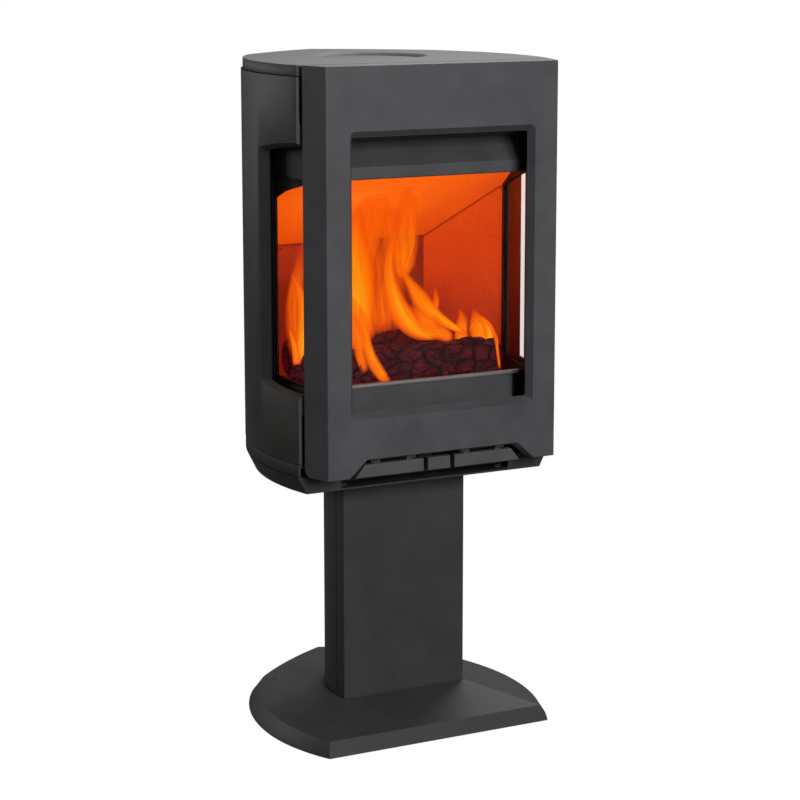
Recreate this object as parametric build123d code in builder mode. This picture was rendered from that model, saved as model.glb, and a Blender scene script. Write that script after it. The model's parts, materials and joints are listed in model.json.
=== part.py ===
"""Wood burning stove on a pedestal, as separate pieces, in millimetres.

+Z is up and -Y is the front. The origin is on the floor, under the middle of the
stove's bounding box. The plan of the stove, its base and its column is one shape at
three sizes: a square front, bulging sides and a blunt corner at the back.
"""

import os
from collections import namedtuple
from math import cos, hypot, radians, sin, sqrt

from build123d import *

os.makedirs("parts", exist_ok=True)

# ---------------------------------------------------------------- plan shapes
Plan = namedtuple("Plan", "half_width widest_y front_r side_r corner_r back_r back_y")
BACK_ANGLE = 26.0  # slope of the two back arcs where they meet on the centre line
BODY = Plan(245.0, -92.8, 397.5, 397.5, 100.0, 700.0, 254.6)
BASE_FRONT_R = 336.0  # the base's lower edge curves in more tightly at the front
COLUMN_HALF_WIDTH = 117.7
COLUMN_WIDEST_Y = -84.8
COLUMN_SCALE = COLUMN_HALF_WIDTH / BODY.half_width
COLUMN = Plan(
    COLUMN_HALF_WIDTH,
    COLUMN_WIDEST_Y,
    BODY.front_r * COLUMN_SCALE,
    BODY.side_r * COLUMN_SCALE,
    BODY.corner_r * COLUMN_SCALE,
    BODY.back_r * COLUMN_SCALE,
    COLUMN_WIDEST_Y + (BODY.back_y - BODY.widest_y) * COLUMN_SCALE,
)

# ---------------------------------------------------------------- driving heights
# Two heights set the rest: the top of the pedestal and the height of the stove on it.
# Things low in the stove are measured from the pedestal, things high in it from the top.
TRAY_Z = 437.0
BODY_HEIGHT = 696.0
TOP_Z = TRAY_Z + BODY_HEIGHT
BASE_BEVEL_Z = 24.1
BASE_FOOT_Z = 48.0
POCKET_Z = 45.0
SEAM_Z = 1.4  # open joint between stacked castings
TRAY_TOP_Z = TRAY_Z + 29.2
DECK_Z = TRAY_TOP_Z + SEAM_Z
DECK_TOP_Z = DECK_Z + 19.4
DECK_PLATE_Z = DECK_TOP_Z - 6.0
CASING_Z = DECK_TOP_Z + SEAM_Z
TOP_PLATE_Z = TOP_Z - 17.0
CASING_TOP_Z = TOP_PLATE_Z - SEAM_Z
DOOR_Z = TRAY_Z + 33.0
FIREBOX_TOP_Z = TOP_Z - 61.0
FIREBOX_FLOOR_Z = TRAY_Z + 108.0
HEARTH_Z = FIREBOX_FLOOR_Z + 5.0
HEARTH_TOP_Z = HEARTH_Z + 30.0
# the openings and panes, each as (low, high)
DOOR_WINDOW_Z = (HEARTH_TOP_Z - 15.1, TOP_Z - 102.1)
DOOR_REVEAL_Z = (HEARTH_TOP_Z - 3.8, TOP_Z - 113.9)
FRAME_OPENING_Z = (HEARTH_TOP_Z + 18.0, TOP_Z - 121.0)
INNER_Z = (HEARTH_TOP_Z - 20.0, TOP_Z - 97.0)
GASKET_Z = (HEARTH_TOP_Z + 9.0, TOP_Z - 103.0)
PANE_Z = (HEARTH_TOP_Z + 21.0, TOP_Z - 176.0)
SIDE_PANE_Z = (HEARTH_TOP_Z + 20.0, TOP_Z - 177.0)
RETAINER_Z = (HEARTH_TOP_Z + 12.0, TOP_Z - 117.0)
LIP_Z = (TOP_Z - 186.0, TOP_Z - 166.0)
RAIL_Z = (HEARTH_TOP_Z + 26.0, HEARTH_TOP_Z + 33.0)
BAFFLE_BACK_Z = TOP_Z - 325.0
AIR_JET_Z = TOP_Z - 333.0
FLUE_R = 75.0  # bore of the rear outlet
FLUE_Z = TOP_Z - 73.0 - FLUE_R
HINGE_Z = (DOOR_Z + 30.0, TOP_Z - 38.0)  # underside of each fixed bracket

# ---------------------------------------------------------------- driving depths
DOOR_FRONT_Y = -258.0
DOOR_REAR_Y = -206.3
DOOR_GAP = 8.3  # open joint between the door's flange and the casing
CASING_FRONT_Y = DOOR_REAR_Y + DOOR_GAP
DOOR_REAR_X = 227.6
HINGE_R = 3.5
HINGE_BOSS_R = HINGE_R + 1.9
HINGE_X, HINGE_Y = HINGE_BOSS_R + 9.2 - DOOR_REAR_X, -212.0
SWING_CLEARANCE = 1.0
# front edge of the deck and top plate, just behind the swing of the door's rear corner
SWING_Y = HINGE_Y + hypot(DOOR_REAR_X + HINGE_X, DOOR_REAR_Y - HINGE_Y) + SWING_CLEARANCE
FRAME_Y = -188.0  # front face of the fixed firebox frame
FRAME_WALL = 4.0
SHELL_Y = FRAME_Y + FRAME_WALL
SHELL_BACK_Y = 112.0
TRAY_FRONT_Y = -195.8
COLUMN_FRONT_Y = -115.5
BASE_FRONT_Y = -252.3
BASE_BEVEL_FRONT_Y = -237.6
FLUE_Y = 12.2  # axis of the round cover in the top plate

# ---------------------------------------------------------------- walls and fits
CASING_GROW = 3.0
CASING_WALL = 5.0
PAD_WALL = 11.0
SHEET = 3.0
STEEL = 4.0
LINER = 15.0
FIT = 0.3
PIN_CLEARANCE = 0.05


def unit_to(start, end):
    """Unit vector from start to end."""
    return (end - start).normalized()


def arc_between(centre, radius, start, end):
    """Arc about centre from start to end, through the middle of the shorter way."""
    middle = centre + ((start - centre) + (end - centre)).normalized() * radius
    return ThreePointArc(start, middle, end)


def plan_sketch(plan, grow, front_y):
    """The plan outline grown outward by grow, with its straight front at front_y."""
    tilt = radians(BACK_ANGLE)
    front_c = Vector(plan.half_width - plan.front_r, plan.widest_y)
    side_c = Vector(plan.half_width - plan.side_r, plan.widest_y)
    back_c = Vector(-plan.back_r * sin(tilt), plan.back_y - plan.back_r * cos(tilt))
    side_reach = plan.side_r - plan.corner_r
    back_reach = plan.back_r - plan.corner_r
    span = (back_c - side_c).length
    along = (side_reach**2 - back_reach**2 + span**2) / (2 * span)
    across = sqrt(side_reach**2 - along**2)
    toward = unit_to(side_c, back_c)
    corner_c = side_c + toward * along + Vector(-toward.Y, toward.X) * across
    front_r = plan.front_r + grow
    side_r = plan.side_r + grow
    corner_r = plan.corner_r + grow
    back_r = plan.back_r + grow
    front_x = front_c.X + sqrt(front_r**2 - (front_y - plan.widest_y) ** 2)
    front = Vector(front_x, front_y)
    widest = Vector(plan.half_width + grow, plan.widest_y)
    side_end = side_c + unit_to(side_c, corner_c) * side_r
    back_start = back_c + unit_to(back_c, corner_c) * back_r
    back = Vector(0, back_c.Y + sqrt(back_r**2 - back_c.X**2))
    with BuildSketch() as outline:
        with BuildLine() as edge:
            Line(Vector(-front_x, front_y), front)
            half = [
                arc_between(front_c, front_r, front, widest),
                arc_between(side_c, side_r, widest, side_end),
                arc_between(corner_c, corner_r, side_end, back_start),
                arc_between(back_c, back_r, back_start, back),
            ]
            mirror(half, about=Plane.YZ)
        make_face()
    return outline.sketch


def polygon_sketch(points):
    """Closed polygon in the plan."""
    with BuildSketch() as outline:
        with BuildLine():
            Polyline(*points, close=True)
        make_face()
    return outline.sketch


def both_sides(points):
    """Right-hand points, front to back, closed by their mirror image."""
    return list(points) + [(-x, y) for x, y in reversed(points)]


def prism(sketch, low, high, mode=Mode.ADD):
    """Upright prism of a plan sketch between two heights, in the current part."""
    with BuildSketch(Plane.XY.offset(low)) as flat:
        add(sketch)
    extrude(flat.sketch, amount=high - low, mode=mode)


def ruled(low_sketch, low, high_sketch, high, mode=Mode.ADD):
    """Straight-sided body from one plan outline up to another."""
    with BuildSketch(Plane.XY.offset(low)) as bottom:
        add(low_sketch)
    with BuildSketch(Plane.XY.offset(high)) as top:
        add(high_sketch)
    loft([bottom.sketch, top.sketch], ruled=True, mode=mode)


def block(x0, x1, y0, y1, z0, z1, mode=Mode.ADD):
    """Box between two corners."""
    with Locations(((x0 + x1) / 2, (y0 + y1) / 2, (z0 + z1) / 2)):
        Box(abs(x1 - x0), abs(y1 - y0), abs(z1 - z0), mode=mode)


def post(x, y, z0, z1, radius, mode=Mode.ADD):
    """Upright round bar or hole."""
    with Locations((x, y, (z0 + z1) / 2)):
        Cylinder(radius, z1 - z0, mode=mode)


def bar_y(x, z, y0, y1, radius, mode=Mode.ADD):
    """Round bar or hole along Y."""
    with Locations((x, (y0 + y1) / 2, z)):
        Cylinder(radius, y1 - y0, rotation=(90, 0, 0), mode=mode)


def bar_x(y, z, x0, x1, radius, mode=Mode.ADD):
    """Round bar or hole along X."""
    with Locations(((x0 + x1) / 2, y, z)):
        Cylinder(radius, x1 - x0, rotation=(0, 90, 0), mode=mode)


def side_profile(points, x0, x1, mode=Mode.ADD):
    """Profile of (y, z) points, extruded along X."""
    with BuildSketch(Plane.YZ.offset(x0)) as flat:
        with BuildLine():
            Polyline(*points, close=True)
        make_face()
    extrude(flat.sketch, amount=x1 - x0, mode=mode)


def front_profile(points, y0, y1, mode=Mode.ADD):
    """Profile of (x, z) points, extruded along +Y from y0 to y1."""
    with BuildSketch(Plane.XZ.offset(-y0)) as flat:
        with BuildLine():
            Polyline(*points, close=True)
        make_face()
    extrude(flat.sketch, amount=-(y1 - y0), mode=mode)


def save(piece, name):
    """Label a finished piece and write it."""
    piece.part.label = name
    export_step(piece.part, f"parts/{name}.step")


# ================================================================ pedestal base
BASE_PLAN = BODY._replace(front_r=BASE_FRONT_R)
BEVEL_INSET = 18.4
BASE_WALL = 8.0
FOOT_GAP = 2.0
COLUMN_SHEET = 2.5
FLOOR_BOLT_X = COLUMN_HALF_WIDTH - 52.7
FLOOR_BOLT_Y = (-80.0, 20.0)
FLOOR_BOLT_R = 5.5
AIR_Y = -30.0
AIR_INLET_R = 40.0
AIR_COLLAR_R = 46.0
LEVEL_POINTS = [(165, -180), (-165, -180), (140, 80), (-140, 80)]
LEVEL_SCREW_R = 5.0
LEVEL_PAD_R = 14.0
LEVEL_PAD_T = 6.5
LEVEL_BOSS_Z = 31.0
FLANGE_BOLT_Y = COLUMN.back_y - 30.0
FLANGE_BOLTS = [(35, -98), (-35, -98), (28, FLANGE_BOLT_Y), (-28, FLANGE_BOLT_Y)]
BOLT_R = 4.0
HEAD_R = 7.0
FLANGE_TOP_Z = POCKET_Z + 6.0

base_foot = plan_sketch(COLUMN, FOOT_GAP, COLUMN_FRONT_Y - FOOT_GAP)
with BuildPart() as base_plate:
    ruled(
        plan_sketch(BASE_PLAN, CASING_GROW, BASE_FRONT_Y),
        0,
        plan_sketch(BODY, CASING_GROW - BEVEL_INSET, BASE_BEVEL_FRONT_Y),
        BASE_BEVEL_Z,
    )
    ruled(
        plan_sketch(BODY, CASING_GROW - BEVEL_INSET, BASE_BEVEL_FRONT_Y),
        BASE_BEVEL_Z,
        base_foot,
        BASE_FOOT_Z,
    )
    # hollow underside, one wall inside the outer skin
    cavity_rim = plan_sketch(
        BODY, CASING_GROW - BEVEL_INSET - BASE_WALL, BASE_BEVEL_FRONT_Y + BASE_WALL
    )
    ruled(
        plan_sketch(BASE_PLAN, CASING_GROW - BASE_WALL, BASE_FRONT_Y + BASE_WALL),
        0,
        cavity_rim,
        BASE_BEVEL_Z - BASE_WALL,
        mode=Mode.SUBTRACT,
    )
    ruled(
        cavity_rim,
        BASE_BEVEL_Z - BASE_WALL,
        plan_sketch(COLUMN, FOOT_GAP - BASE_WALL, COLUMN_FRONT_Y - FOOT_GAP + BASE_WALL),
        BASE_FOOT_Z - BASE_WALL,
        mode=Mode.SUBTRACT,
    )
    for bolt_x in (-FLOOR_BOLT_X, FLOOR_BOLT_X):
        for bolt_y in FLOOR_BOLT_Y:
            post(bolt_x, bolt_y, 0, BASE_FOOT_Z - BASE_WALL + 1, 14.0)
    for level_x, level_y in LEVEL_POINTS:
        post(level_x, level_y, LEVEL_PAD_T + 0.5, LEVEL_BOSS_Z, 13.0)
    for bolt_x, bolt_y in FLANGE_BOLTS:
        post(bolt_x, bolt_y, 24.0, BASE_FOOT_Z - BASE_WALL + 1, 11.0)
    post(0, AIR_Y, 0, BASE_FOOT_Z - BASE_WALL + 1, AIR_COLLAR_R)
    prism(base_foot, POCKET_Z, BASE_FOOT_Z + 1, mode=Mode.SUBTRACT)
    post(0, AIR_Y, -1, BASE_FOOT_Z, AIR_INLET_R, mode=Mode.SUBTRACT)
    for bolt_x in (-FLOOR_BOLT_X, FLOOR_BOLT_X):
        for bolt_y in FLOOR_BOLT_Y:
            post(bolt_x, bolt_y, -1, BASE_FOOT_Z, FLOOR_BOLT_R, mode=Mode.SUBTRACT)
    for level_x, level_y in LEVEL_POINTS:
        post(level_x, level_y, 4, 20, LEVEL_SCREW_R + PIN_CLEARANCE, mode=Mode.SUBTRACT)
    for bolt_x, bolt_y in FLANGE_BOLTS:
        post(bolt_x, bolt_y, 27, BASE_FOOT_Z, BOLT_R + PIN_CLEARANCE, mode=Mode.SUBTRACT)
save(base_plate, "base_plate")

with BuildPart() as levelling_feet:
    for level_x, level_y in LEVEL_POINTS:
        post(level_x, level_y, 0, LEVEL_PAD_T, LEVEL_PAD_R)
        post(level_x, level_y, LEVEL_PAD_T, 19, LEVEL_SCREW_R)
save(levelling_feet, "levelling_feet")

# ================================================================ pedestal column
COLUMN_TOP_Z = TRAY_Z - 1.0
COLUMN_SEAM_Y = -90.8
SEAM = 1.2
FLANGE_INSET = 3.5
HEAD_FLANGE_Z = TRAY_Z - 6.0
DUCT_R = 40.0
DUCT_WALL = 2.0
HEAD_BOLT_Y = FLANGE_BOLT_Y - 12.0
HEAD_BOLTS = [(45, -98), (-45, -98), (32, HEAD_BOLT_Y), (-32, HEAD_BOLT_Y)]
POST_X = (COLUMN_HALF_WIDTH - 29.7, COLUMN_HALF_WIDTH - 9.7)
POST_Y = (-104.0, -52.0)

flange_plan = plan_sketch(COLUMN, -FLANGE_INSET, COLUMN_FRONT_Y + FLANGE_INSET)

with BuildPart() as foot_flange:
    prism(flange_plan, POCKET_Z, FLANGE_TOP_Z)
    post(0, AIR_Y, POCKET_Z, FLANGE_TOP_Z, DUCT_R - DUCT_WALL, mode=Mode.SUBTRACT)
    for bolt_x in (-FLOOR_BOLT_X, FLOOR_BOLT_X):
        for bolt_y in FLOOR_BOLT_Y:
            post(bolt_x, bolt_y, POCKET_Z, FLANGE_TOP_Z, 9.0, mode=Mode.SUBTRACT)
    for bolt_x, bolt_y in FLANGE_BOLTS:
        post(bolt_x, bolt_y, POCKET_Z, FLANGE_TOP_Z, BOLT_R + PIN_CLEARANCE, mode=Mode.SUBTRACT)
save(foot_flange, "foot_flange")

with BuildPart() as head_flange:
    prism(flange_plan, HEAD_FLANGE_Z, TRAY_Z)
    post(0, AIR_Y, HEAD_FLANGE_Z, TRAY_Z, DUCT_R + FIT, mode=Mode.SUBTRACT)
    for bolt_x, bolt_y in HEAD_BOLTS:
        post(bolt_x, bolt_y, HEAD_FLANGE_Z, TRAY_Z, BOLT_R + PIN_CLEARANCE, mode=Mode.SUBTRACT)
save(head_flange, "head_flange")

with BuildPart() as column_bolts:
    for bolt_x, bolt_y in FLANGE_BOLTS:
        post(bolt_x, bolt_y, 28, FLANGE_TOP_Z, BOLT_R)
        post(bolt_x, bolt_y, FLANGE_TOP_Z, FLANGE_TOP_Z + 5, HEAD_R)
    for bolt_x, bolt_y in HEAD_BOLTS:
        post(bolt_x, bolt_y, HEAD_FLANGE_Z - 6, HEAD_FLANGE_Z, HEAD_R)
        post(bolt_x, bolt_y, HEAD_FLANGE_Z, TRAY_Z + 3, BOLT_R)
        post(bolt_x, bolt_y, TRAY_Z + 3, TRAY_Z + 6.2, HEAD_R)
save(column_bolts, "column_bolts")

with BuildPart() as column_posts:
    for side in (-1, 1):
        x0, x1 = side * POST_X[0], side * POST_X[1]
        wall = side * SHEET
        block(x0, x1, *POST_Y, FLANGE_TOP_Z, HEAD_FLANGE_Z)
        block(
            x0,
            x1 - wall,
            POST_Y[0] + SHEET,
            POST_Y[1] - SHEET,
            FLANGE_TOP_Z,
            HEAD_FLANGE_Z,
            mode=Mode.SUBTRACT,
        )
save(column_posts, "column_posts")

column_outer = plan_sketch(COLUMN, 0, COLUMN_FRONT_Y)
column_inner = plan_sketch(COLUMN, -COLUMN_SHEET, COLUMN_FRONT_Y + COLUMN_SHEET)

with BuildPart() as column_rear_shell:
    prism(column_outer, POCKET_Z, COLUMN_TOP_Z)
    prism(column_inner, POCKET_Z, COLUMN_TOP_Z, mode=Mode.SUBTRACT)
    block(-200, 200, -200, COLUMN_SEAM_Y + SEAM / 2, 0, TRAY_Z, mode=Mode.SUBTRACT)
save(column_rear_shell, "column_rear_shell")

with BuildPart() as column_front_cover:
    prism(column_outer, POCKET_Z, COLUMN_TOP_Z)
    prism(column_inner, POCKET_Z, COLUMN_TOP_Z, mode=Mode.SUBTRACT)
    block(-200, 200, COLUMN_SEAM_Y - SEAM / 2, 200, 0, TRAY_Z, mode=Mode.SUBTRACT)
save(column_front_cover, "column_front_cover")

with BuildPart() as air_duct:
    post(0, AIR_Y, FLANGE_TOP_Z, TRAY_Z, DUCT_R)
    post(0, AIR_Y, FLANGE_TOP_Z, TRAY_Z, DUCT_R - DUCT_WALL, mode=Mode.SUBTRACT)
save(air_duct, "air_duct")

# ================================================================ lower tray and deck
TRAY_WALL = 4.0
TRAY_FLOOR = 3.0
TRAY_LOW_GROW = -11.6
TRAY_HIGH_GROW = 2.5
SLOT_HALF_WIDTH = 156.0
CHUTE_X = 84.0
CHUTE_Y = (-84.0, 44.0)
CHUTE_Z = TRAY_TOP_Z - 3.2
AIR_HOLES_Y = -135.0
tray_floor_z = TRAY_Z + TRAY_FLOOR

with BuildPart() as lower_tray:
    ruled(
        plan_sketch(BODY, TRAY_LOW_GROW, TRAY_FRONT_Y),
        TRAY_Z,
        plan_sketch(BODY, TRAY_HIGH_GROW, TRAY_FRONT_Y),
        TRAY_TOP_Z,
    )
    slope = (TRAY_HIGH_GROW - TRAY_LOW_GROW) / (TRAY_TOP_Z - TRAY_Z)
    inner_low = TRAY_LOW_GROW + slope * TRAY_FLOOR - TRAY_WALL
    ruled(
        plan_sketch(BODY, inner_low, TRAY_FRONT_Y + TRAY_WALL),
        tray_floor_z,
        plan_sketch(BODY, TRAY_HIGH_GROW - TRAY_WALL, TRAY_FRONT_Y + TRAY_WALL),
        TRAY_TOP_Z,
        mode=Mode.SUBTRACT,
    )
    front_profile(
        [
            (-SLOT_HALF_WIDTH - 6, TRAY_TOP_Z + 1),
            (-SLOT_HALF_WIDTH, tray_floor_z),
            (SLOT_HALF_WIDTH, tray_floor_z),
            (SLOT_HALF_WIDTH + 6, TRAY_TOP_Z + 1),
        ],
        TRAY_FRONT_Y - 1,
        TRAY_FRONT_Y + TRAY_WALL + 1,
        mode=Mode.SUBTRACT,
    )
    post(0, AIR_Y, TRAY_Z, tray_floor_z, DUCT_R - DUCT_WALL, mode=Mode.SUBTRACT)
    for bolt_x, bolt_y in HEAD_BOLTS:
        post(bolt_x, bolt_y, TRAY_Z, tray_floor_z, BOLT_R + PIN_CLEARANCE, mode=Mode.SUBTRACT)
save(lower_tray, "lower_tray")

with BuildPart() as deck_posts:
    for post_x, post_y in ((185, -120), (-185, -120), (130, 120), (-130, 120)):
        post(post_x, post_y, tray_floor_z, DECK_PLATE_Z, 7.0)
save(deck_posts, "deck_posts")

with BuildPart() as deck_casting:
    prism(plan_sketch(BODY, TRAY_HIGH_GROW, SWING_Y), DECK_Z, DECK_TOP_Z)
    prism(
        plan_sketch(BODY, TRAY_HIGH_GROW - TRAY_WALL, CASING_FRONT_Y - 10),
        DECK_Z,
        DECK_PLATE_Z,
        mode=Mode.SUBTRACT,
    )
    block(
        -CHUTE_X - 2,
        CHUTE_X + 2,
        CHUTE_Y[0] - 2,
        CHUTE_Y[1] + 2,
        DECK_PLATE_Z,
        DECK_TOP_Z,
        mode=Mode.SUBTRACT,
    )
    for hole in range(5):
        post(24 * (hole - 2), AIR_HOLES_Y, DECK_PLATE_Z, DECK_TOP_Z, 7.0, mode=Mode.SUBTRACT)
save(deck_casting, "deck_casting")

# ================================================================ ash drawer
DRAWER_X = 148.0
DRAWER_Y = (-168.0, 62.0)
DRAWER_Z = TRAY_Z + 7.6
DRAWER_TOP_Z = DRAWER_Z + 15.4
DRAWER_WALL = 1.6

with BuildPart() as ash_drawer:
    block(-DRAWER_X, DRAWER_X, *DRAWER_Y, DRAWER_Z, DRAWER_TOP_Z)
    block(
        -DRAWER_X + DRAWER_WALL,
        DRAWER_X - DRAWER_WALL,
        DRAWER_Y[0] + DRAWER_WALL,
        DRAWER_Y[1] - DRAWER_WALL,
        DRAWER_Z + DRAWER_WALL,
        DRAWER_TOP_Z,
        mode=Mode.SUBTRACT,
    )
    # rolled finger lip along the front edge
    block(-60, 60, DRAWER_Y[0] - 8, DRAWER_Y[0], DRAWER_TOP_Z - 2, DRAWER_TOP_Z)
    block(-60, 60, DRAWER_Y[0] - 8, DRAWER_Y[0] - 6, DRAWER_TOP_Z - 7, DRAWER_TOP_Z - 2)
save(ash_drawer, "ash_drawer")

with BuildPart() as drawer_runners:
    for side in (-1, 1):
        inner = side * (DRAWER_X + FIT)
        block(side * (DRAWER_X - 8), inner + side * 3, -180, 70, tray_floor_z, DRAWER_Z - FIT)
        block(inner, inner + side * 3, -180, 70, DRAWER_Z - FIT, DRAWER_Z + 9)
save(drawer_runners, "drawer_runners")

# ================================================================ air control
HANDLE_FRONT_Y = -242.3
HANDLE_DEPTH = 12.0
HANDLE_Z = DOOR_Z - 4.5
HANDLE_TOP_Z = HANDLE_Z + 21.5
KNOB_HALF_WIDTH = 21.0
ROD_Z = HANDLE_Z + 8.0
ROD_R = 3.0
ROD_END_Y = -162.0
VALVE_Z = (DECK_PLATE_Z - 3.0, DECK_PLATE_Z - 0.8)
handle_rear_y = HANDLE_FRONT_Y + HANDLE_DEPTH

with BuildPart() as air_knob:
    block(
        -KNOB_HALF_WIDTH,
        KNOB_HALF_WIDTH,
        HANDLE_FRONT_Y,
        handle_rear_y,
        HANDLE_Z,
        HANDLE_TOP_Z,
    )
    fillet(air_knob.faces().sort_by(Axis.Y)[0].edges(), 1.5)
    bar_y(0, ROD_Z, handle_rear_y - 8, handle_rear_y, ROD_R, mode=Mode.SUBTRACT)
save(air_knob, "air_knob")

with BuildPart() as air_slide:
    bar_y(0, ROD_Z, handle_rear_y - 8, ROD_END_Y, ROD_R)
    block(-8, 8, ROD_END_Y, ROD_END_Y + 4, ROD_Z - 6, VALVE_Z[0])
    block(-62, 62, ROD_END_Y, AIR_HOLES_Y + 14, *VALVE_Z)
    for hole in range(5):
        post(24 * (hole - 2), AIR_HOLES_Y, *VALVE_Z, 7.0, mode=Mode.SUBTRACT)
save(air_slide, "air_slide")

with BuildPart() as rod_guide:
    block(-11, 11, -196, -184, ROD_Z - 6, DECK_PLATE_Z)
    bar_y(0, ROD_Z, -197, -183, ROD_R + PIN_CLEARANCE, mode=Mode.SUBTRACT)
save(rod_guide, "rod_guide")

# ================================================================ firebox
SHELL = [(201.0, SHELL_Y), (217.0, -72.0), (231.0, -70.0), (158.0, SHELL_BACK_Y)]
GLASS_T = 4.0
OPENING_X = 195.0
# the side pane's opening in the shell wall, as (y, z) corners
SIDE_WINDOW = [
    (-174, HEARTH_TOP_Z + 29),
    (-77, HEARTH_TOP_Z + 36),
    (-77, TOP_Z - 222),
    (-104, TOP_Z - 209),
    (-174, TOP_Z - 191),
]
BAFFLE_BACK_Y = 93.0
BAFFLE_SLOPE = 0.63
BAFFLE_FRONT_Y = -130.0
BAFFLE_T = 22.0
FLUE_WALL = 6.0
GRATE_X = 85.0
GRATE_Y = (-85.0, 45.0)
GRATE_Z = (HEARTH_TOP_Z - 13.7, HEARTH_TOP_Z - 2.0)

shell_outline = polygon_sketch(both_sides(SHELL))


def inner_outline(distance):
    """The firebox plan, moved inward by distance."""
    with BuildSketch() as inset:
        add(shell_outline)
        offset(amount=-distance, kind=Kind.INTERSECTION, mode=Mode.REPLACE)
    return inset.sketch


def shell_line(distance, y):
    """X of the slanting rear side wall, moved inward by distance, at depth y."""
    (x0, y0), (x1, y1) = SHELL[2], SHELL[3]
    run = hypot(x1 - x0, y1 - y0)
    return x0 + (x1 - x0) * (y - y0) / (y1 - y0) - distance * run / (y1 - y0)


def baffle_z(y):
    """Height of the baffle's lower face at depth y."""
    return BAFFLE_BACK_Z + BAFFLE_SLOPE * (BAFFLE_BACK_Y - y)


with BuildPart() as firebox_shell:
    prism(shell_outline, DECK_TOP_Z, FIREBOX_TOP_Z)
    prism(inner_outline(STEEL), DECK_TOP_Z, FIREBOX_TOP_Z, mode=Mode.SUBTRACT)
    block(
        -OPENING_X,
        OPENING_X,
        SHELL_Y - 1,
        SHELL_Y + STEEL + 2,
        DECK_TOP_Z,
        FIREBOX_TOP_Z,
        mode=Mode.SUBTRACT,
    )
    for side in (-1, 1):
        side_profile(SIDE_WINDOW, side * 190, side * 225, mode=Mode.SUBTRACT)
    bar_y(0, FLUE_Z, SHELL_BACK_Y - 10, SHELL_BACK_Y + 5, FLUE_R + FLUE_WALL + FIT, mode=Mode.SUBTRACT)
    block(
        -138,
        138,
        SHELL_BACK_Y - 10,
        SHELL_BACK_Y + 5,
        AIR_JET_Z - 8,
        AIR_JET_Z + 6,
        mode=Mode.SUBTRACT,
    )
save(firebox_shell, "firebox_shell")

with BuildPart() as front_frame:
    block(-214, 214, FRAME_Y, SHELL_Y, DECK_TOP_Z, FIREBOX_TOP_Z + 6)
    block(
        -OPENING_X, OPENING_X, FRAME_Y - 1, SHELL_Y + 1, *FRAME_OPENING_Z, mode=Mode.SUBTRACT
    )
    block(-150, 150, FRAME_Y - 1, SHELL_Y + 1, DECK_TOP_Z, FIREBOX_FLOOR_Z - 5, mode=Mode.SUBTRACT)
save(front_frame, "front_frame")

floor_plan = inner_outline(STEEL)
with BuildPart() as firebox_floor:
    prism(floor_plan, FIREBOX_FLOOR_Z, HEARTH_Z)
    block(-80, 80, -80, 40, FIREBOX_FLOOR_Z, HEARTH_Z, mode=Mode.SUBTRACT)
save(firebox_floor, "firebox_floor")

with BuildPart() as ash_chute:
    block(-CHUTE_X, CHUTE_X, *CHUTE_Y, CHUTE_Z, FIREBOX_FLOOR_Z)
    block(
        -CHUTE_X + SHEET,
        CHUTE_X - SHEET,
        CHUTE_Y[0] + SHEET,
        CHUTE_Y[1] - SHEET,
        CHUTE_Z,
        FIREBOX_FLOOR_Z,
        mode=Mode.SUBTRACT,
    )
save(ash_chute, "ash_chute")

with BuildPart() as hearth_liner:
    prism(inner_outline(STEEL + FIT), HEARTH_Z, HEARTH_TOP_Z)
    block(-80, 80, -80, 40, HEARTH_Z, HEARTH_TOP_Z, mode=Mode.SUBTRACT)
    block(-86, 86, -86, 46, GRATE_Z[0] - FIT, HEARTH_TOP_Z, mode=Mode.SUBTRACT)
save(hearth_liner, "hearth_liner")

with BuildPart() as grate:
    block(-GRATE_X, GRATE_X, *GRATE_Y, *GRATE_Z)
    for bar in range(9):
        with Locations((18 * (bar - 4), (GRATE_Y[0] + GRATE_Y[1]) / 2, GRATE_Z[0])):
            Box(8, 104, 40, mode=Mode.SUBTRACT)
save(grate, "grate")


def build_side_liner(side):
    """Upright board on one side wall, with its top cut to carry the baffle."""
    front_y, back_y = -65.5, BAFFLE_BACK_Y - FIT
    outer, inner = STEEL + FIT, STEEL + FIT + LINER
    points = [
        (side * shell_line(inner, front_y), front_y),
        (side * shell_line(outer, front_y), front_y),
        (side * shell_line(outer, back_y), back_y),
        (side * shell_line(inner, back_y), back_y),
    ]
    with BuildPart() as liner:
        prism(polygon_sketch(points), HEARTH_TOP_Z, BAFFLE_BACK_Z + 152)
        side_profile(
            [(-200, baffle_z(-200)), (200, baffle_z(200)), (200, TOP_Z), (-200, TOP_Z)],
            -300,
            300,
            mode=Mode.SUBTRACT,
        )
    return liner


side_liner_left = build_side_liner(-1)
save(side_liner_left, "side_liner_left")
side_liner_right = build_side_liner(1)
save(side_liner_right, "side_liner_right")

LINER_BACK_Y = SHELL_BACK_Y - STEEL - FIT
with BuildPart() as back_liner:
    with BuildSketch() as back_plan:
        add(
            polygon_sketch(
                both_sides(
                    [
                        (shell_line(STEEL + FIT, BAFFLE_BACK_Y), BAFFLE_BACK_Y),
                        (shell_line(STEEL + FIT, LINER_BACK_Y), LINER_BACK_Y),
                    ]
                )
            )
        )
    prism(back_plan.sketch, HEARTH_TOP_Z, BAFFLE_BACK_Z + 92)
    side_profile(
        [(-200, baffle_z(-200)), (200, baffle_z(200)), (200, TOP_Z), (-200, TOP_Z)],
        -300,
        300,
        mode=Mode.SUBTRACT,
    )
    for jet in range(12):
        jet_x = 24 * (jet - 5.5)
        bar_y(jet_x, AIR_JET_Z, BAFFLE_BACK_Y - 1, LINER_BACK_Y + 1, 2.5, mode=Mode.SUBTRACT)
save(back_liner, "back_liner")

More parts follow.
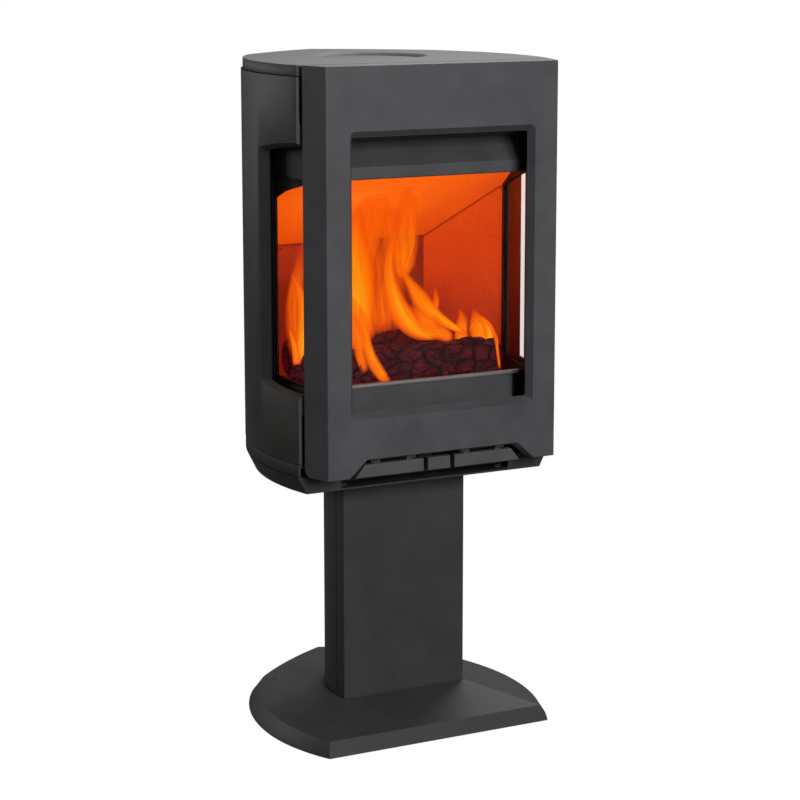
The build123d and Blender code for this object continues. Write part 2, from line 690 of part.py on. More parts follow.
with BuildPart() as baffle:
    prism(inner_outline(STEEL + 1.2), BAFFLE_BACK_Z - 100, FIREBOX_TOP_Z - 12)
    rear_y = LINER_BACK_Y - 1
    lift = 0.2
    side_profile(
        [
            (BAFFLE_FRONT_Y, baffle_z(BAFFLE_FRONT_Y) + lift),
            (rear_y, baffle_z(rear_y) + lift),
            (rear_y, baffle_z(rear_y) + BAFFLE_T),
            (BAFFLE_FRONT_Y, baffle_z(BAFFLE_FRONT_Y) + BAFFLE_T),
        ],
        -300,
        300,
        mode=Mode.INTERSECT,
    )
save(baffle, "baffle")

DEFLECTOR_Z = TOP_Z - 109.0
with BuildPart() as smoke_deflector:
    prism(inner_outline(STEEL), DEFLECTOR_Z, DEFLECTOR_Z + SHEET)
    block(-300, 300, -150, 30, DEFLECTOR_Z - 9, DEFLECTOR_Z + 9, mode=Mode.INTERSECT)
save(smoke_deflector, "smoke_deflector")

with BuildPart() as firebox_top:
    prism(shell_outline, FIREBOX_TOP_Z, FIREBOX_TOP_Z + 6)
    post(0, FLUE_Y, FIREBOX_TOP_Z, FIREBOX_TOP_Z + 6, FLUE_R, mode=Mode.SUBTRACT)
save(firebox_top, "firebox_top")

with BuildPart() as blanking_disc:
    post(0, FLUE_Y, FIREBOX_TOP_Z + 6, FIREBOX_TOP_Z + 11, FLUE_R + 9)
    post(0, FLUE_Y, FIREBOX_TOP_Z + 11, FIREBOX_TOP_Z + 20, 11)
    fillet(blanking_disc.faces().sort_by(Axis.Z)[-1].edges(), 3)
save(blanking_disc, "blanking_disc")

DUCT_Y = SHELL_BACK_Y + 16.0
DUCT_Z = (AIR_JET_Z - 24.0, AIR_JET_Z + 22.0)
with BuildPart() as rear_air_duct:
    block(-140, 140, SHELL_BACK_Y, DUCT_Y, *DUCT_Z)
    block(-35, 35, SHELL_BACK_Y, DUCT_Y, DECK_TOP_Z, DUCT_Z[0])
    block(-138, 138, SHELL_BACK_Y, DUCT_Y - 2, DUCT_Z[0] + 2, DUCT_Z[1] - 2, mode=Mode.SUBTRACT)
    block(-33, 33, SHELL_BACK_Y, DUCT_Y - 2, DECK_TOP_Z, DUCT_Z[0] + 3, mode=Mode.SUBTRACT)
save(rear_air_duct, "rear_air_duct")

FLUE_END_Y = 214.0
with BuildPart() as flue_collar:
    bar_y(0, FLUE_Z, SHELL_BACK_Y - 4, FLUE_END_Y, FLUE_R + FLUE_WALL)
    bar_y(0, FLUE_Z, SHELL_BACK_Y, SHELL_BACK_Y + 6, FLUE_R + 21)
    bar_y(0, FLUE_Z, SHELL_BACK_Y - 5, FLUE_END_Y + 1, FLUE_R, mode=Mode.SUBTRACT)
save(flue_collar, "flue_collar")

SHIELD_Y = 150.0
with BuildPart() as heat_shield:
    block(-92, 92, SHIELD_Y, SHIELD_Y + 1.5, DECK_TOP_Z + 13, FIREBOX_TOP_Z - 12)
    bar_y(0, FLUE_Z, SHIELD_Y - 2, SHIELD_Y + 3, FLUE_R + FLUE_WALL + 4, mode=Mode.SUBTRACT)
    for stand_z in (DECK_TOP_Z + 33, AIR_JET_Z - 100):
        for stand_x in (-80, 80):
            bar_y(stand_x, stand_z, SHELL_BACK_Y, SHIELD_Y, 5)
save(heat_shield, "heat_shield")

# ================================================================ side panes
side_run = hypot(SHELL[1][0] - SHELL[0][0], SHELL[1][1] - SHELL[0][1])
side_along = Vector(SHELL[1][0] - SHELL[0][0], SHELL[1][1] - SHELL[0][1]) / side_run
side_out = Vector(side_along.Y, -side_along.X)


def on_side(along, out):
    """Point on the right-hand side wall: a distance along it and one out from it."""
    spot = Vector(*SHELL[0]) + side_along * along + side_out * out
    return (spot.X, spot.Y)


def side_bar(side, along0, along1, out0, out1):
    """Plan of a bar laid on the side wall, on the left (-1) or the right (1)."""
    points = [on_side(along0, out0), on_side(along1, out0), on_side(along1, out1), on_side(along0, out1)]
    return polygon_sketch([(side * x, y) for x, y in points])


def build_side_glass(side):
    """Flat pane on the outside of the side wall."""
    with BuildPart() as pane:
        prism(side_bar(side, 4, side_run - 1, 0, GLASS_T), *SIDE_PANE_Z)
    return pane


def build_side_retainer(side):
    """Frame that clamps the pane to the wall, outside the glass."""
    with BuildPart() as frame:
        prism(side_bar(side, 1, side_run - 0.5, GLASS_T, GLASS_T + 2), *RETAINER_Z)
        prism(
            side_bar(side, 9, side_run - 4, GLASS_T - 1, GLASS_T + 3),
            SIDE_PANE_Z[0] + 7,
            SIDE_PANE_Z[1] - 8,
            mode=Mode.SUBTRACT,
        )
        prism(side_bar(side, 1, side_run - 0.5, 0, GLASS_T), RETAINER_Z[0], SIDE_PANE_Z[0])
        prism(side_bar(side, 1, side_run - 0.5, 0, GLASS_T), SIDE_PANE_Z[1], RETAINER_Z[1])
    return frame


side_glass_left = build_side_glass(-1)
save(side_glass_left, "side_glass_left")
side_glass_right = build_side_glass(1)
save(side_glass_right, "side_glass_right")
side_retainer_left = build_side_retainer(-1)
save(side_retainer_left, "side_retainer_left")
side_retainer_right = build_side_retainer(1)
save(side_retainer_right, "side_retainer_right")

# ================================================================ outer casing
CASING_SPLIT_Y = 60.0
# the casing's side window: (y, z) corners on its outer and inner faces
WINDOW_OUT_X, WINDOW_IN_X = 250.0, 231.0
WINDOW_OUT = [
    (-212, HEARTH_TOP_Z + 7),
    (-73.8, HEARTH_TOP_Z + 30),
    (-73.8, TOP_Z - 137.5),
    (-212, TOP_Z - 109.5),
]
WINDOW_IN = [
    (-212, HEARTH_TOP_Z + 17),
    (-110, HEARTH_TOP_Z + 34),
    (-110, TOP_Z - 144),
    (-212, TOP_Z - 121),
]
casing_outer = plan_sketch(BODY, CASING_GROW, CASING_FRONT_Y)


def stretch(out_corner, in_corner, x):
    """Corner of the window's slanting reveal at another depth x."""
    share = (x - WINDOW_IN_X) / (WINDOW_OUT_X - WINDOW_IN_X)
    return tuple(i + (o - i) * share for o, i in zip(out_corner, in_corner))


def window_cut(side):
    """Funnel-shaped cut, wider outside, through one side of the casing."""
    faces = []
    for x in (215.0, 265.0):
        corners = [stretch(o, i, x) for o, i in zip(WINDOW_OUT, WINDOW_IN)]
        with BuildSketch(Plane.YZ.offset(side * x)) as face:
            with BuildLine():
                Polyline(*corners, close=True)
            make_face()
            fillet(face.vertices().sort_by(Axis.Y)[2:], 7)
        faces.append(face.sketch)
    loft(faces, ruled=True, mode=Mode.SUBTRACT)


def build_side_casing(side):
    """Curved cast side, thicker round its window."""
    with BuildPart() as casing:
        prism(casing_outer, CASING_Z, CASING_TOP_Z)
        prism(
            plan_sketch(BODY, CASING_GROW - CASING_WALL, CASING_FRONT_Y - 10),
            CASING_Z,
            CASING_TOP_Z,
            mode=Mode.SUBTRACT,
        )
        with BuildSketch() as pad_plan:
            add(casing_outer)
            add(plan_sketch(BODY, CASING_GROW - PAD_WALL, CASING_FRONT_Y - 10), mode=Mode.SUBTRACT)
            add(polygon_sketch([(100, -300), (300, -300), (300, -84), (100, -84)]), mode=Mode.INTERSECT)
        with BuildSketch() as pad_side:
            add(pad_plan.sketch if side > 0 else mirror(pad_plan.sketch, about=Plane.YZ, mode=Mode.PRIVATE))
        prism(pad_side.sketch, HEARTH_TOP_Z - 10, TOP_Z - 93)
        x0, x1 = (50, 300) if side > 0 else (-300, -50)
        block(x0, x1, CASING_FRONT_Y, CASING_SPLIT_Y, CASING_Z, CASING_TOP_Z, mode=Mode.INTERSECT)
        window_cut(side)
    return casing


casing_left = build_side_casing(-1)
save(casing_left, "casing_left")
casing_right = build_side_casing(1)
save(casing_right, "casing_right")

BACK_SCREW_LOW_Z, BACK_SCREW_HIGH_Z = CASING_Z + 31.6, CASING_TOP_Z - 24.6
BACK_SCREW_Z = (
    BACK_SCREW_LOW_Z,
    (BACK_SCREW_LOW_Z + BACK_SCREW_HIGH_Z) / 2,
    BACK_SCREW_HIGH_Z,
)
BACK_SCREW_X = 120.0
BACK_SCREW_R = 2.5


def back_screw_plane(side, z):
    """Plane lying on the back cover's outer face at one screw, facing outward."""
    tilt = radians(BACK_ANGLE)
    centre = Vector(-BODY.back_r * sin(tilt), BODY.back_y - BODY.back_r * cos(tilt))
    radius = BODY.back_r + CASING_GROW
    reach = BACK_SCREW_X - centre.X
    y = centre.Y + sqrt(radius**2 - reach**2)
    outward = (side * reach / radius, (y - centre.Y) / radius, 0)
    return Plane((side * BACK_SCREW_X, y, z), x_dir=(0, 0, 1), z_dir=outward)


BACK_SCREWS = [back_screw_plane(side, z) for side in (-1, 1) for z in BACK_SCREW_Z]

with BuildPart() as back_cover:
    prism(casing_outer, CASING_Z, CASING_TOP_Z)
    prism(
        plan_sketch(BODY, CASING_GROW - SHEET, CASING_FRONT_Y - 10),
        CASING_Z,
        CASING_TOP_Z,
        mode=Mode.SUBTRACT,
    )
    block(-300, 300, CASING_SPLIT_Y + 1.5, 300, CASING_Z, CASING_TOP_Z, mode=Mode.INTERSECT)
    bar_y(0, FLUE_Z, 180, 270, FLUE_R + FLUE_WALL + 4, mode=Mode.SUBTRACT)
    for row in range(6):
        for side in (-1, 1):
            with Locations((side * 75, 215, CASING_Z + 71.6 + 14 * row)):
                Box(70, 90, 5, mode=Mode.SUBTRACT)
    for screw in BACK_SCREWS:
        with BuildSketch(screw.offset(-8)):
            Circle(BACK_SCREW_R + FIT)
        extrude(amount=16, mode=Mode.SUBTRACT)
save(back_cover, "back_cover")

with BuildPart() as back_screws:
    for screw in BACK_SCREWS:
        with BuildSketch(screw.offset(-8)):
            Circle(BACK_SCREW_R)
        extrude(amount=8.1)
        with BuildSketch(screw.offset(0.1)):
            Circle(2 * BACK_SCREW_R)
        extrude(amount=2.5, taper=25)
save(back_screws, "back_screws")

with BuildPart() as casing_brackets:
    for bracket_z in (CASING_Z + 31.6, FIREBOX_TOP_Z - 26):
        for side in (-1, 1):
            for y0, y1 in ((-40, -24), (36, 52), (68, 84)):
                wall = CASING_WALL if y1 < CASING_SPLIT_Y else SHEET
                with BuildSketch() as bracket:
                    add(polygon_sketch([(side * 120, y0), (side * 300, y0), (side * 300, y1), (side * 120, y1)]))
                    add(plan_sketch(BODY, CASING_GROW - wall, CASING_FRONT_Y), mode=Mode.INTERSECT)
                    add(shell_outline, mode=Mode.SUBTRACT)
                prism(bracket.sketch, bracket_z, bracket_z + 14)
save(casing_brackets, "casing_brackets")

# ================================================================ top plate and cover
COVER_R = FLUE_R + 15.0
COVER_RIM_R = COVER_R + 7.5
COVER_Z = (TOP_Z - 11.0, TOP_Z - 5.0)
with BuildPart() as top_plate:
    prism(plan_sketch(BODY, 0, SWING_Y), TOP_PLATE_Z, TOP_Z)
    fillet(top_plate.faces().sort_by(Axis.Z)[-1].edges(), 1.5)
    with BuildSketch() as under:
        add(plan_sketch(BODY, -8, SWING_Y + 8))
        with Locations((0, FLUE_Y)):
            Circle(COVER_RIM_R + 6, mode=Mode.SUBTRACT)
    prism(under.sketch, TOP_PLATE_Z, TOP_Z - 6, mode=Mode.SUBTRACT)
    post(0, FLUE_Y, TOP_PLATE_Z, TOP_Z, COVER_R - 6, mode=Mode.SUBTRACT)
    post(0, FLUE_Y, COVER_Z[0], TOP_Z, COVER_R, mode=Mode.SUBTRACT)
    with BuildSketch(Plane.XZ.offset(-FLUE_Y)) as funnel:
        with BuildLine():
            Polyline(
                (0, COVER_Z[1]), (COVER_R, COVER_Z[1]), (COVER_RIM_R, TOP_Z), (0, TOP_Z), close=True
            )
        make_face()
    revolve(funnel.sketch, axis=Axis((0, FLUE_Y, 0), (0, 0, 1)), mode=Mode.SUBTRACT)
save(top_plate, "top_plate")

with BuildPart() as flue_cover:
    post(0, FLUE_Y, COVER_Z[0], COVER_Z[1], COVER_R - 0.7)
    fillet(flue_cover.faces().sort_by(Axis.Z)[-1].edges(), 1.0)
    # lifting dimple under the rim
    with Locations((0, FLUE_Y - COVER_R + 6, COVER_Z[1])):
        Sphere(7, mode=Mode.SUBTRACT)
save(flue_cover, "flue_cover")

with BuildPart() as top_supports:
    for support_x, support_y in ((150, -120), (-150, -120), (115, 80), (-115, 80)):
        post(support_x, support_y, FIREBOX_TOP_Z + 6, TOP_Z - 6, 9)
save(top_supports, "top_supports")

# ================================================================ door casting
DOOR_FRONT_X = 210.4
DOOR_WALL = 12.8
FLANGE_WALL = 6.0
FLARE = (DOOR_REAR_X - DOOR_FRONT_X) / (DOOR_REAR_Y - DOOR_FRONT_Y)
DOOR_BACK_Y = DOOR_FRONT_Y + DOOR_WALL
HINGE_PLATE_Z = ((HINGE_Z[0] - 10, HINGE_Z[0] + 30), (HINGE_Z[1] - 43, HINGE_Z[1] + 17))
HINGE_T = 8.0
LUG_GAP = 1.0
LUG_T = 7.0
EYE_Y, EYE_Z = -234.0, HANDLE_TOP_Z + 6.0
EYE_R = 5.4
PIN_R = 2.5
EYES = [(42.0, 48.0), (118.0, 124.0)]
flare_wall = FLANGE_WALL * sqrt(1 + FLARE**2)


def door_x(y):
    """Half width of the door casting at depth y."""
    return DOOR_FRONT_X + FLARE * (y - DOOR_FRONT_Y)


def frame_face(y, half_width, low, high, radius):
    """Rounded rectangle in an upright plane at depth y."""
    with BuildSketch(Plane.XZ.offset(-y)) as face:
        with Locations((0, (low + high) / 2)):
            RectangleRounded(2 * half_width, high - low, radius)
    return face.sketch


def notch_face(y, half_top, half_bottom, top):
    """Handle notch outline in an upright plane at depth y, open below the door."""
    low = DOOR_Z - 6
    spread = (half_bottom - half_top) * (top - low) / (top - DOOR_Z)
    with BuildSketch(Plane.XZ.offset(-y)) as face:
        with BuildLine():
            Polyline(
                (-half_top, top),
                (half_top, top),
                (half_top + spread, low),
                (-half_top - spread, low),
                close=True,
            )
        make_face()
    return face.sketch


with BuildPart() as door_casting:
    door_plan = both_sides([(DOOR_FRONT_X, DOOR_FRONT_Y), (DOOR_REAR_X, DOOR_REAR_Y)])
    prism(polygon_sketch(door_plan), DOOR_Z, TOP_Z)
    fillet(door_casting.faces().sort_by(Axis.Y)[0].edges(), 1.6)
    door_hollow = both_sides(
        [
            (door_x(DOOR_BACK_Y) - flare_wall, DOOR_BACK_Y),
            (door_x(DOOR_REAR_Y + 5) - flare_wall, DOOR_REAR_Y + 5),
        ]
    )
    prism(polygon_sketch(door_hollow), DOOR_Z, TOP_Z - FLANGE_WALL, mode=Mode.SUBTRACT)
    for side in (-1, 1):
        corner = 12.0
        with Locations((side * (DOOR_REAR_X - 10), DOOR_REAR_Y, DOOR_Z)):
            Box(60, 2 * corner, 2 * corner, mode=Mode.SUBTRACT)
        with BuildSketch(Plane.YZ.offset(side * (DOOR_REAR_X - 30))) as heel:
            with Locations((DOOR_REAR_Y - corner, DOOR_Z + corner)):
                Circle(corner)
        heel_clip = extrude(heel.sketch, amount=side * 60, mode=Mode.PRIVATE)
        wall_strip = [
            (side * door_x(DOOR_REAR_Y - 30), DOOR_REAR_Y - 30),
            (side * DOOR_REAR_X, DOOR_REAR_Y),
            (side * (DOOR_REAR_X - flare_wall), DOOR_REAR_Y),
            (side * (door_x(DOOR_REAR_Y - 30) - flare_wall), DOOR_REAR_Y - 30),
        ]
        strip = extrude(
            Plane.XY.offset(DOOR_Z) * polygon_sketch(wall_strip), amount=2 * corner, mode=Mode.PRIVATE
        )
        add(heel_clip & strip)
    loft(
        [
            frame_face(DOOR_FRONT_Y - 1, 169.5, *DOOR_WINDOW_Z, 9),
            frame_face(DOOR_BACK_Y + 0.1, 160.3, *DOOR_REVEAL_Z, 4),
        ],
        ruled=True,
        mode=Mode.SUBTRACT,
    )
    loft(
        [
            notch_face(DOOR_FRONT_Y - 1, 140.5, 173.0, DOOR_Z + 30),
            notch_face(DOOR_BACK_Y + 0.1, 134.0, 166.0, DOOR_Z + 25),
        ],
        ruled=True,
        mode=Mode.SUBTRACT,
    )
    # hinge lugs, each just above its fixed bracket
    for bracket_z in HINGE_Z:
        lug_z = bracket_z + HINGE_T + LUG_GAP
        prism(
            polygon_sketch(
                [
                    (-door_x(-224) + 2, -224),
                    (HINGE_X + 3, -224),
                    (HINGE_X + HINGE_R + 2, -216),
                    (HINGE_X + HINGE_R + 2, HINGE_Y + HINGE_R + 1),
                    (-door_x(HINGE_Y + HINGE_R + 1) + 2, HINGE_Y + HINGE_R + 1),
                ]
            ),
            lug_z,
            lug_z + LUG_T,
        )
        post(HINGE_X, HINGE_Y, lug_z, lug_z + LUG_T, HINGE_R, mode=Mode.SUBTRACT)
    # eyes that carry the latch handle on the right and the fixed grip on the left
    for eye0, eye1 in EYES:
        for side in (-1, 1):
            bar_x(EYE_Y, EYE_Z, min(side * eye0, side * eye1), max(side * eye0, side * eye1), EYE_R)
            side_profile(
                [
                    (EYE_Y + EYE_R, EYE_Z),
                    (EYE_Y + EYE_R, EYE_Z + 15.5),
                    (DOOR_BACK_Y - 1, DOOR_Z + 49),
                    (DOOR_BACK_Y - 1, DOOR_Z + 30),
                    (EYE_Y - 4, EYE_Z + 3.7),
                ],
                side * eye0,
                side * eye1,
            )
    bar_x(EYE_Y, EYE_Z, -130, 130, PIN_R, mode=Mode.SUBTRACT)
save(door_casting, "door_casting")

with BuildPart() as hinge_pins:
    for bracket_z in HINGE_Z:
        post(HINGE_X, HINGE_Y, bracket_z, bracket_z + HINGE_T + LUG_GAP + LUG_T, HINGE_R)
save(hinge_pins, "hinge_pins")

with BuildPart() as hinge_brackets:
    for bracket_z, (plate_low, plate_high) in zip(HINGE_Z, HINGE_PLATE_Z):
        arm = [
            (HINGE_X, HINGE_Y - HINGE_BOSS_R),
            (-192, HINGE_Y - HINGE_BOSS_R),
            (-192, FRAME_Y),
            (-200, FRAME_Y),
            (-200, HINGE_Y + 3.0),
            (HINGE_X, HINGE_Y + HINGE_BOSS_R),
        ]
        top_z = bracket_z + HINGE_T
        prism(polygon_sketch(arm), bracket_z, top_z)
        post(HINGE_X, HINGE_Y, bracket_z, top_z, HINGE_BOSS_R)
        block(-200, -186, FRAME_Y - SHEET, FRAME_Y, plate_low, plate_high)
        post(HINGE_X, HINGE_Y, bracket_z, top_z, HINGE_R + PIN_CLEARANCE, mode=Mode.SUBTRACT)
save(hinge_brackets, "hinge_brackets")

# ================================================================ door glazing
INNER_X = 206.0
INNER_Y = (-194.5, -191.5)
PANE_X = 196.0
PANE_Y = -200.5
HOOD_X = 172.0
RAIL_X = 171.5
HOOD_RUN = 40.0
HOOD_RISE = 41.0
VIEW_LOW_Z = RAIL_Z[0] + 5.0
HOOD_SLOT_Z = LIP_Z[1] + HOOD_RISE + 2.0

with BuildPart() as door_inner_frame:
    block(-INNER_X, INNER_X, DOOR_BACK_Y, INNER_Y[1], *INNER_Z)
    block(
        -INNER_X + SHEET,
        INNER_X - SHEET,
        DOOR_BACK_Y,
        INNER_Y[0],
        INNER_Z[0] + SHEET,
        INNER_Z[1] - SHEET,
        mode=Mode.SUBTRACT,
    )
    block(-PANE_X + 5, PANE_X - 5, *INNER_Y, VIEW_LOW_Z, LIP_Z[0], mode=Mode.SUBTRACT)
    block(-HOOD_X, HOOD_X, *INNER_Y, LIP_Z[0] - 1, HOOD_SLOT_Z, mode=Mode.SUBTRACT)
    # cheeks that close the gap above each end of the hood
    for side in (-1, 1):
        side_profile(
            [
                (INNER_Y[1] - 0.5, LIP_Z[1]),
                (INNER_Y[1] + 27, LIP_Z[1] + HOOD_RISE - 3),
                (INNER_Y[1] + 27, HOOD_SLOT_Z),
                (INNER_Y[1] - 0.5, HOOD_SLOT_Z),
            ],
            side * (HOOD_X + FIT),
            side * (HOOD_X + FIT + 2),
        )
save(door_inner_frame, "door_inner_frame")

with BuildPart() as front_glass:
    block(-PANE_X, PANE_X, PANE_Y, PANE_Y + GLASS_T, *PANE_Z)
save(front_glass, "front_glass")

with BuildPart() as glass_gasket:
    block(-PANE_X, PANE_X, PANE_Y + GLASS_T, INNER_Y[0], PANE_Z[0], LIP_Z[0] - 1)
    block(
        -PANE_X + 5,
        PANE_X - 5,
        PANE_Y + GLASS_T,
        INNER_Y[0],
        VIEW_LOW_Z,
        LIP_Z[0],
        mode=Mode.SUBTRACT,
    )
save(glass_gasket, "glass_gasket")

with BuildPart() as door_gasket:
    block(-205, 205, INNER_Y[1], FRAME_Y - FIT, *GASKET_Z)
    block(-197, 197, INNER_Y[1], FRAME_Y, GASKET_Z[0] + 8, GASKET_Z[1] - 8, mode=Mode.SUBTRACT)
save(door_gasket, "door_gasket")

with BuildPart() as door_hood:
    lip_y = PANE_Y - 3.5
    side_profile(
        [
            (PANE_Y, LIP_Z[0]),
            (lip_y, LIP_Z[0]),
            (lip_y, LIP_Z[1]),
            (lip_y + HOOD_RUN, LIP_Z[1] + HOOD_RISE),
            (lip_y + HOOD_RUN + 3, LIP_Z[1] + HOOD_RISE - 3),
            (PANE_Y, LIP_Z[1] - 2),
        ],
        -HOOD_X,
        HOOD_X,
    )
    lip_edges = door_hood.edges().filter_by(Axis.X).sort_by(Axis.Y)
    fillet(lip_edges[0:2], 2.5)
save(door_hood, "door_hood")

with BuildPart() as bottom_rail:
    block(-RAIL_X, RAIL_X, PANE_Y - 6, PANE_Y, *RAIL_Z)
    fillet(bottom_rail.edges().filter_by(Axis.X).sort_by(Axis.Y)[0:2], 2.5)
save(bottom_rail, "bottom_rail")

with BuildPart() as sill_panel:
    block(-160, 160, PANE_Y - SHEET, PANE_Y, INNER_Z[0] + SHEET, RAIL_Z[0])
    block(-150, 150, PANE_Y, INNER_Y[0], INNER_Z[0] + SHEET, INNER_Z[0] + 2 * SHEET)
save(sill_panel, "sill_panel")

# ================================================================ handles
GRIP_INNER_X = 28.5
GRIP_TOP_X = 136.5
GRIP_LOW_X = 154.0
BAR_EYES = [(48.5, 58.5), (107.5, 117.5)]
HOOK_X = (88.0, 96.0)


def build_grip(side):
    """Handle bar with slanting outer end and two eyes above it."""
    with BuildPart() as grip:
        front_profile(
            [
                (side * GRIP_INNER_X, HANDLE_Z),
                (side * GRIP_LOW_X, HANDLE_Z),
                (side * GRIP_TOP_X, HANDLE_TOP_Z),
                (side * GRIP_INNER_X, HANDLE_TOP_Z),
            ],
            HANDLE_FRONT_Y,
            handle_rear_y,
        )
        fillet(grip.faces().sort_by(Axis.Y)[0].edges(), 1.5)
        for eye0, eye1 in BAR_EYES:
            x0, x1 = sorted((side * eye0, side * eye1))
            bar_x(EYE_Y, EYE_Z, x0, x1, EYE_R)
            block(x0, x1, EYE_Y - 3, handle_rear_y, HANDLE_TOP_Z - 2, EYE_Z - 2)
        bar_x(EYE_Y, EYE_Z, -160, 160, PIN_R + PIN_CLEARANCE, mode=Mode.SUBTRACT)
        if side > 0:
            block(*HOOK_X, handle_rear_y, -209, HANDLE_Z + 3, HANDLE_Z + 9)
            block(*HOOK_X, -212, -209, HANDLE_Z + 3, HANDLE_Z + 12)
    return grip


left_grip = build_grip(-1)
save(left_grip, "left_grip")
latch_handle = build_grip(1)
save(latch_handle, "latch_handle")

with BuildPart() as handle_pins:
    for side in (-1, 1):
        x0, x1 = sorted((side * EYES[0][0], side * EYES[1][1]))
        bar_x(EYE_Y, EYE_Z, x0, x1, PIN_R)
save(handle_pins, "handle_pins")

with BuildPart() as latch_keeper:
    block(HOOK_X[0] - 4, HOOK_X[1] + 4, -214, CASING_FRONT_Y, DECK_PLATE_Z - 2, DECK_PLATE_Z + 2)
    block(HOOK_X[0] - 4, HOOK_X[1] + 4, CASING_FRONT_Y, SWING_Y + 6, DECK_PLATE_Z - 4, DECK_PLATE_Z)
save(latch_keeper, "latch_keeper")
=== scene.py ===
# %% [markdown]
# # A wood burning stove on a pedestal
# The machine shop's model of this stove is already there: castings, door, glass, liners, latch
# and ash drawer, each in its place and able to move. What is left is what a close look would
# see: paint over sand-cast iron, boards lit orange by the fire, with that firelight painted into
# them as a glow, charred logs and flames. This lesson loads the model as it is, gives every
# casting a finish, and then builds the fire, the rope seal and the screws, which are easier to
# shape as meshes than as machined solids.

# %% Load the stove
import json
import math
import random

import bmesh
import bpy
from mathutils import Euler, Matrix, Vector, noise


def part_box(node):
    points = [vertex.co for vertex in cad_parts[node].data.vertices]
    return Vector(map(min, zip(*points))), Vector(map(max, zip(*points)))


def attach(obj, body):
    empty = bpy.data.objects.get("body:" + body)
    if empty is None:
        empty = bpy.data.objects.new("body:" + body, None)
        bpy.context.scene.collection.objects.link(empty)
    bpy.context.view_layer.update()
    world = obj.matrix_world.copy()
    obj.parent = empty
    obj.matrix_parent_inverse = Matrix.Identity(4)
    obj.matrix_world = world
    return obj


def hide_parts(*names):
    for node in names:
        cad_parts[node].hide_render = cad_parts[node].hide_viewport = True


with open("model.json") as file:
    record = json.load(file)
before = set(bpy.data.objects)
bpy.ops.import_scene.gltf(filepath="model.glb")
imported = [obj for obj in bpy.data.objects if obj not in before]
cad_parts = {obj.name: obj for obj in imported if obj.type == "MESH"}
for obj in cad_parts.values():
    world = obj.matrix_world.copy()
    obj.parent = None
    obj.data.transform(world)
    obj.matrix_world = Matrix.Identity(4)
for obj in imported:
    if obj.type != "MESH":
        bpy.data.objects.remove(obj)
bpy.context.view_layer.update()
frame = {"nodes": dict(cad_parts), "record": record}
nodes = frame["nodes"]
MM = 0.001

# %% [markdown]
# ## Helpers
# A mesh is worked on as a bmesh, a loose bag of points and faces with operators such as extrude
# and bevel. When it has its shape it becomes an object, which must ride on one of the stove's
# moving bodies, so that a log stays behind when the door opens and a screw goes with the door.


# %% Turn a bmesh into a piece of the stove
def finish_piece(name, bm, material, body, smooth=True, outward=True):
    if outward:
        bmesh.ops.recalc_face_normals(bm, faces=bm.faces)
    mesh = bpy.data.meshes.new(name)
    bm.to_mesh(mesh)
    bm.free()
    mesh.materials.append(material)
    for face in mesh.polygons:
        face.use_smooth = smooth
    piece = bpy.data.objects.new(name, mesh)
    bpy.context.scene.collection.objects.link(piece)
    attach(piece, body)
    print(name, len(mesh.polygons), "faces, rides on", body)
    return piece


def place(verts, matrix):
    for vert in verts:
        vert.co = matrix @ vert.co


# %% [markdown]
# ## Small helpers for shader nodes
# A material is a little circuit. These two helpers add a node with its settings in one line and
# wire two sockets, so that a material reads like a recipe. A group is a circuit with named inputs
# and outputs, made once and used by many materials.


# %% Node helpers
def add_node(tree, kind, settings=None, **inputs):
    made = tree.nodes.new(kind)
    for key, value in (settings or {}).items():
        setattr(made, key, value)
    for key, value in inputs.items():
        made.inputs[key.replace("_", " ")].default_value = value
    return made


def wire(tree, source, target):
    tree.links.new(source, target)


def new_group(name, inputs, outputs):
    tree = bpy.data.node_groups.new(name, "ShaderNodeTree")
    for label, kind, value in inputs:
        socket = tree.interface.new_socket(name=label, in_out="INPUT", socket_type=kind)
        if value is not None:
            socket.default_value = value
    for label, kind in outputs:
        tree.interface.new_socket(name=label, in_out="OUTPUT", socket_type=kind)
    return tree, tree.nodes.new("NodeGroupInput"), tree.nodes.new("NodeGroupOutput")


FLOAT, COLOR, VECTOR = "NodeSocketFloat", "NodeSocketColor", "NodeSocketVector"


# %% More node helpers: arithmetic, ramps and a mix of colours
def maths(tree, operation, first, second=None, clamp=False):
    made = add_node(tree, "ShaderNodeMath", {"operation": operation, "use_clamp": clamp})
    for index, value in enumerate((first, second)):
        if value is None:
            continue
        if isinstance(value, (int, float)):
            made.inputs[index].default_value = value
        else:
            wire(tree, value, made.inputs[index])
    return made.outputs[0]


def ramp(tree, source, stops):
    made = add_node(tree, "ShaderNodeValToRGB")
    while len(made.color_ramp.elements) < len(stops):
        made.color_ramp.elements.new(0.5)
    for element, (position, color) in zip(made.color_ramp.elements, stops):
        element.position = position
        element.color = (*color, 1.0)
    wire(tree, source, made.inputs["Fac"])
    return made.outputs["Color"]


def blend_colors(tree, factor, first, second, kind="MIX"):
    made = add_node(tree, "ShaderNodeMix", {"data_type": "RGBA", "blend_type": kind})
    for socket, value in ((0, factor), (6, first), (7, second)):
        if isinstance(value, (int, float)):
            made.inputs[socket].default_value = value
        elif isinstance(value, tuple):
            made.inputs[socket].default_value = (*value, 1.0)
        else:
            wire(tree, value, made.inputs[socket])
    return made.outputs[2]


# %% [markdown]
# ## Group: sand-cast skin
# Iron poured into sand keeps the sand's grain, and matt stove paint softens it but does not hide
# it. Two noises do it: a fine one for the grain, and a broad one for the cloudy variation that a
# sprayed coat has. The group gives out a height for bump and a cloud value for colour.

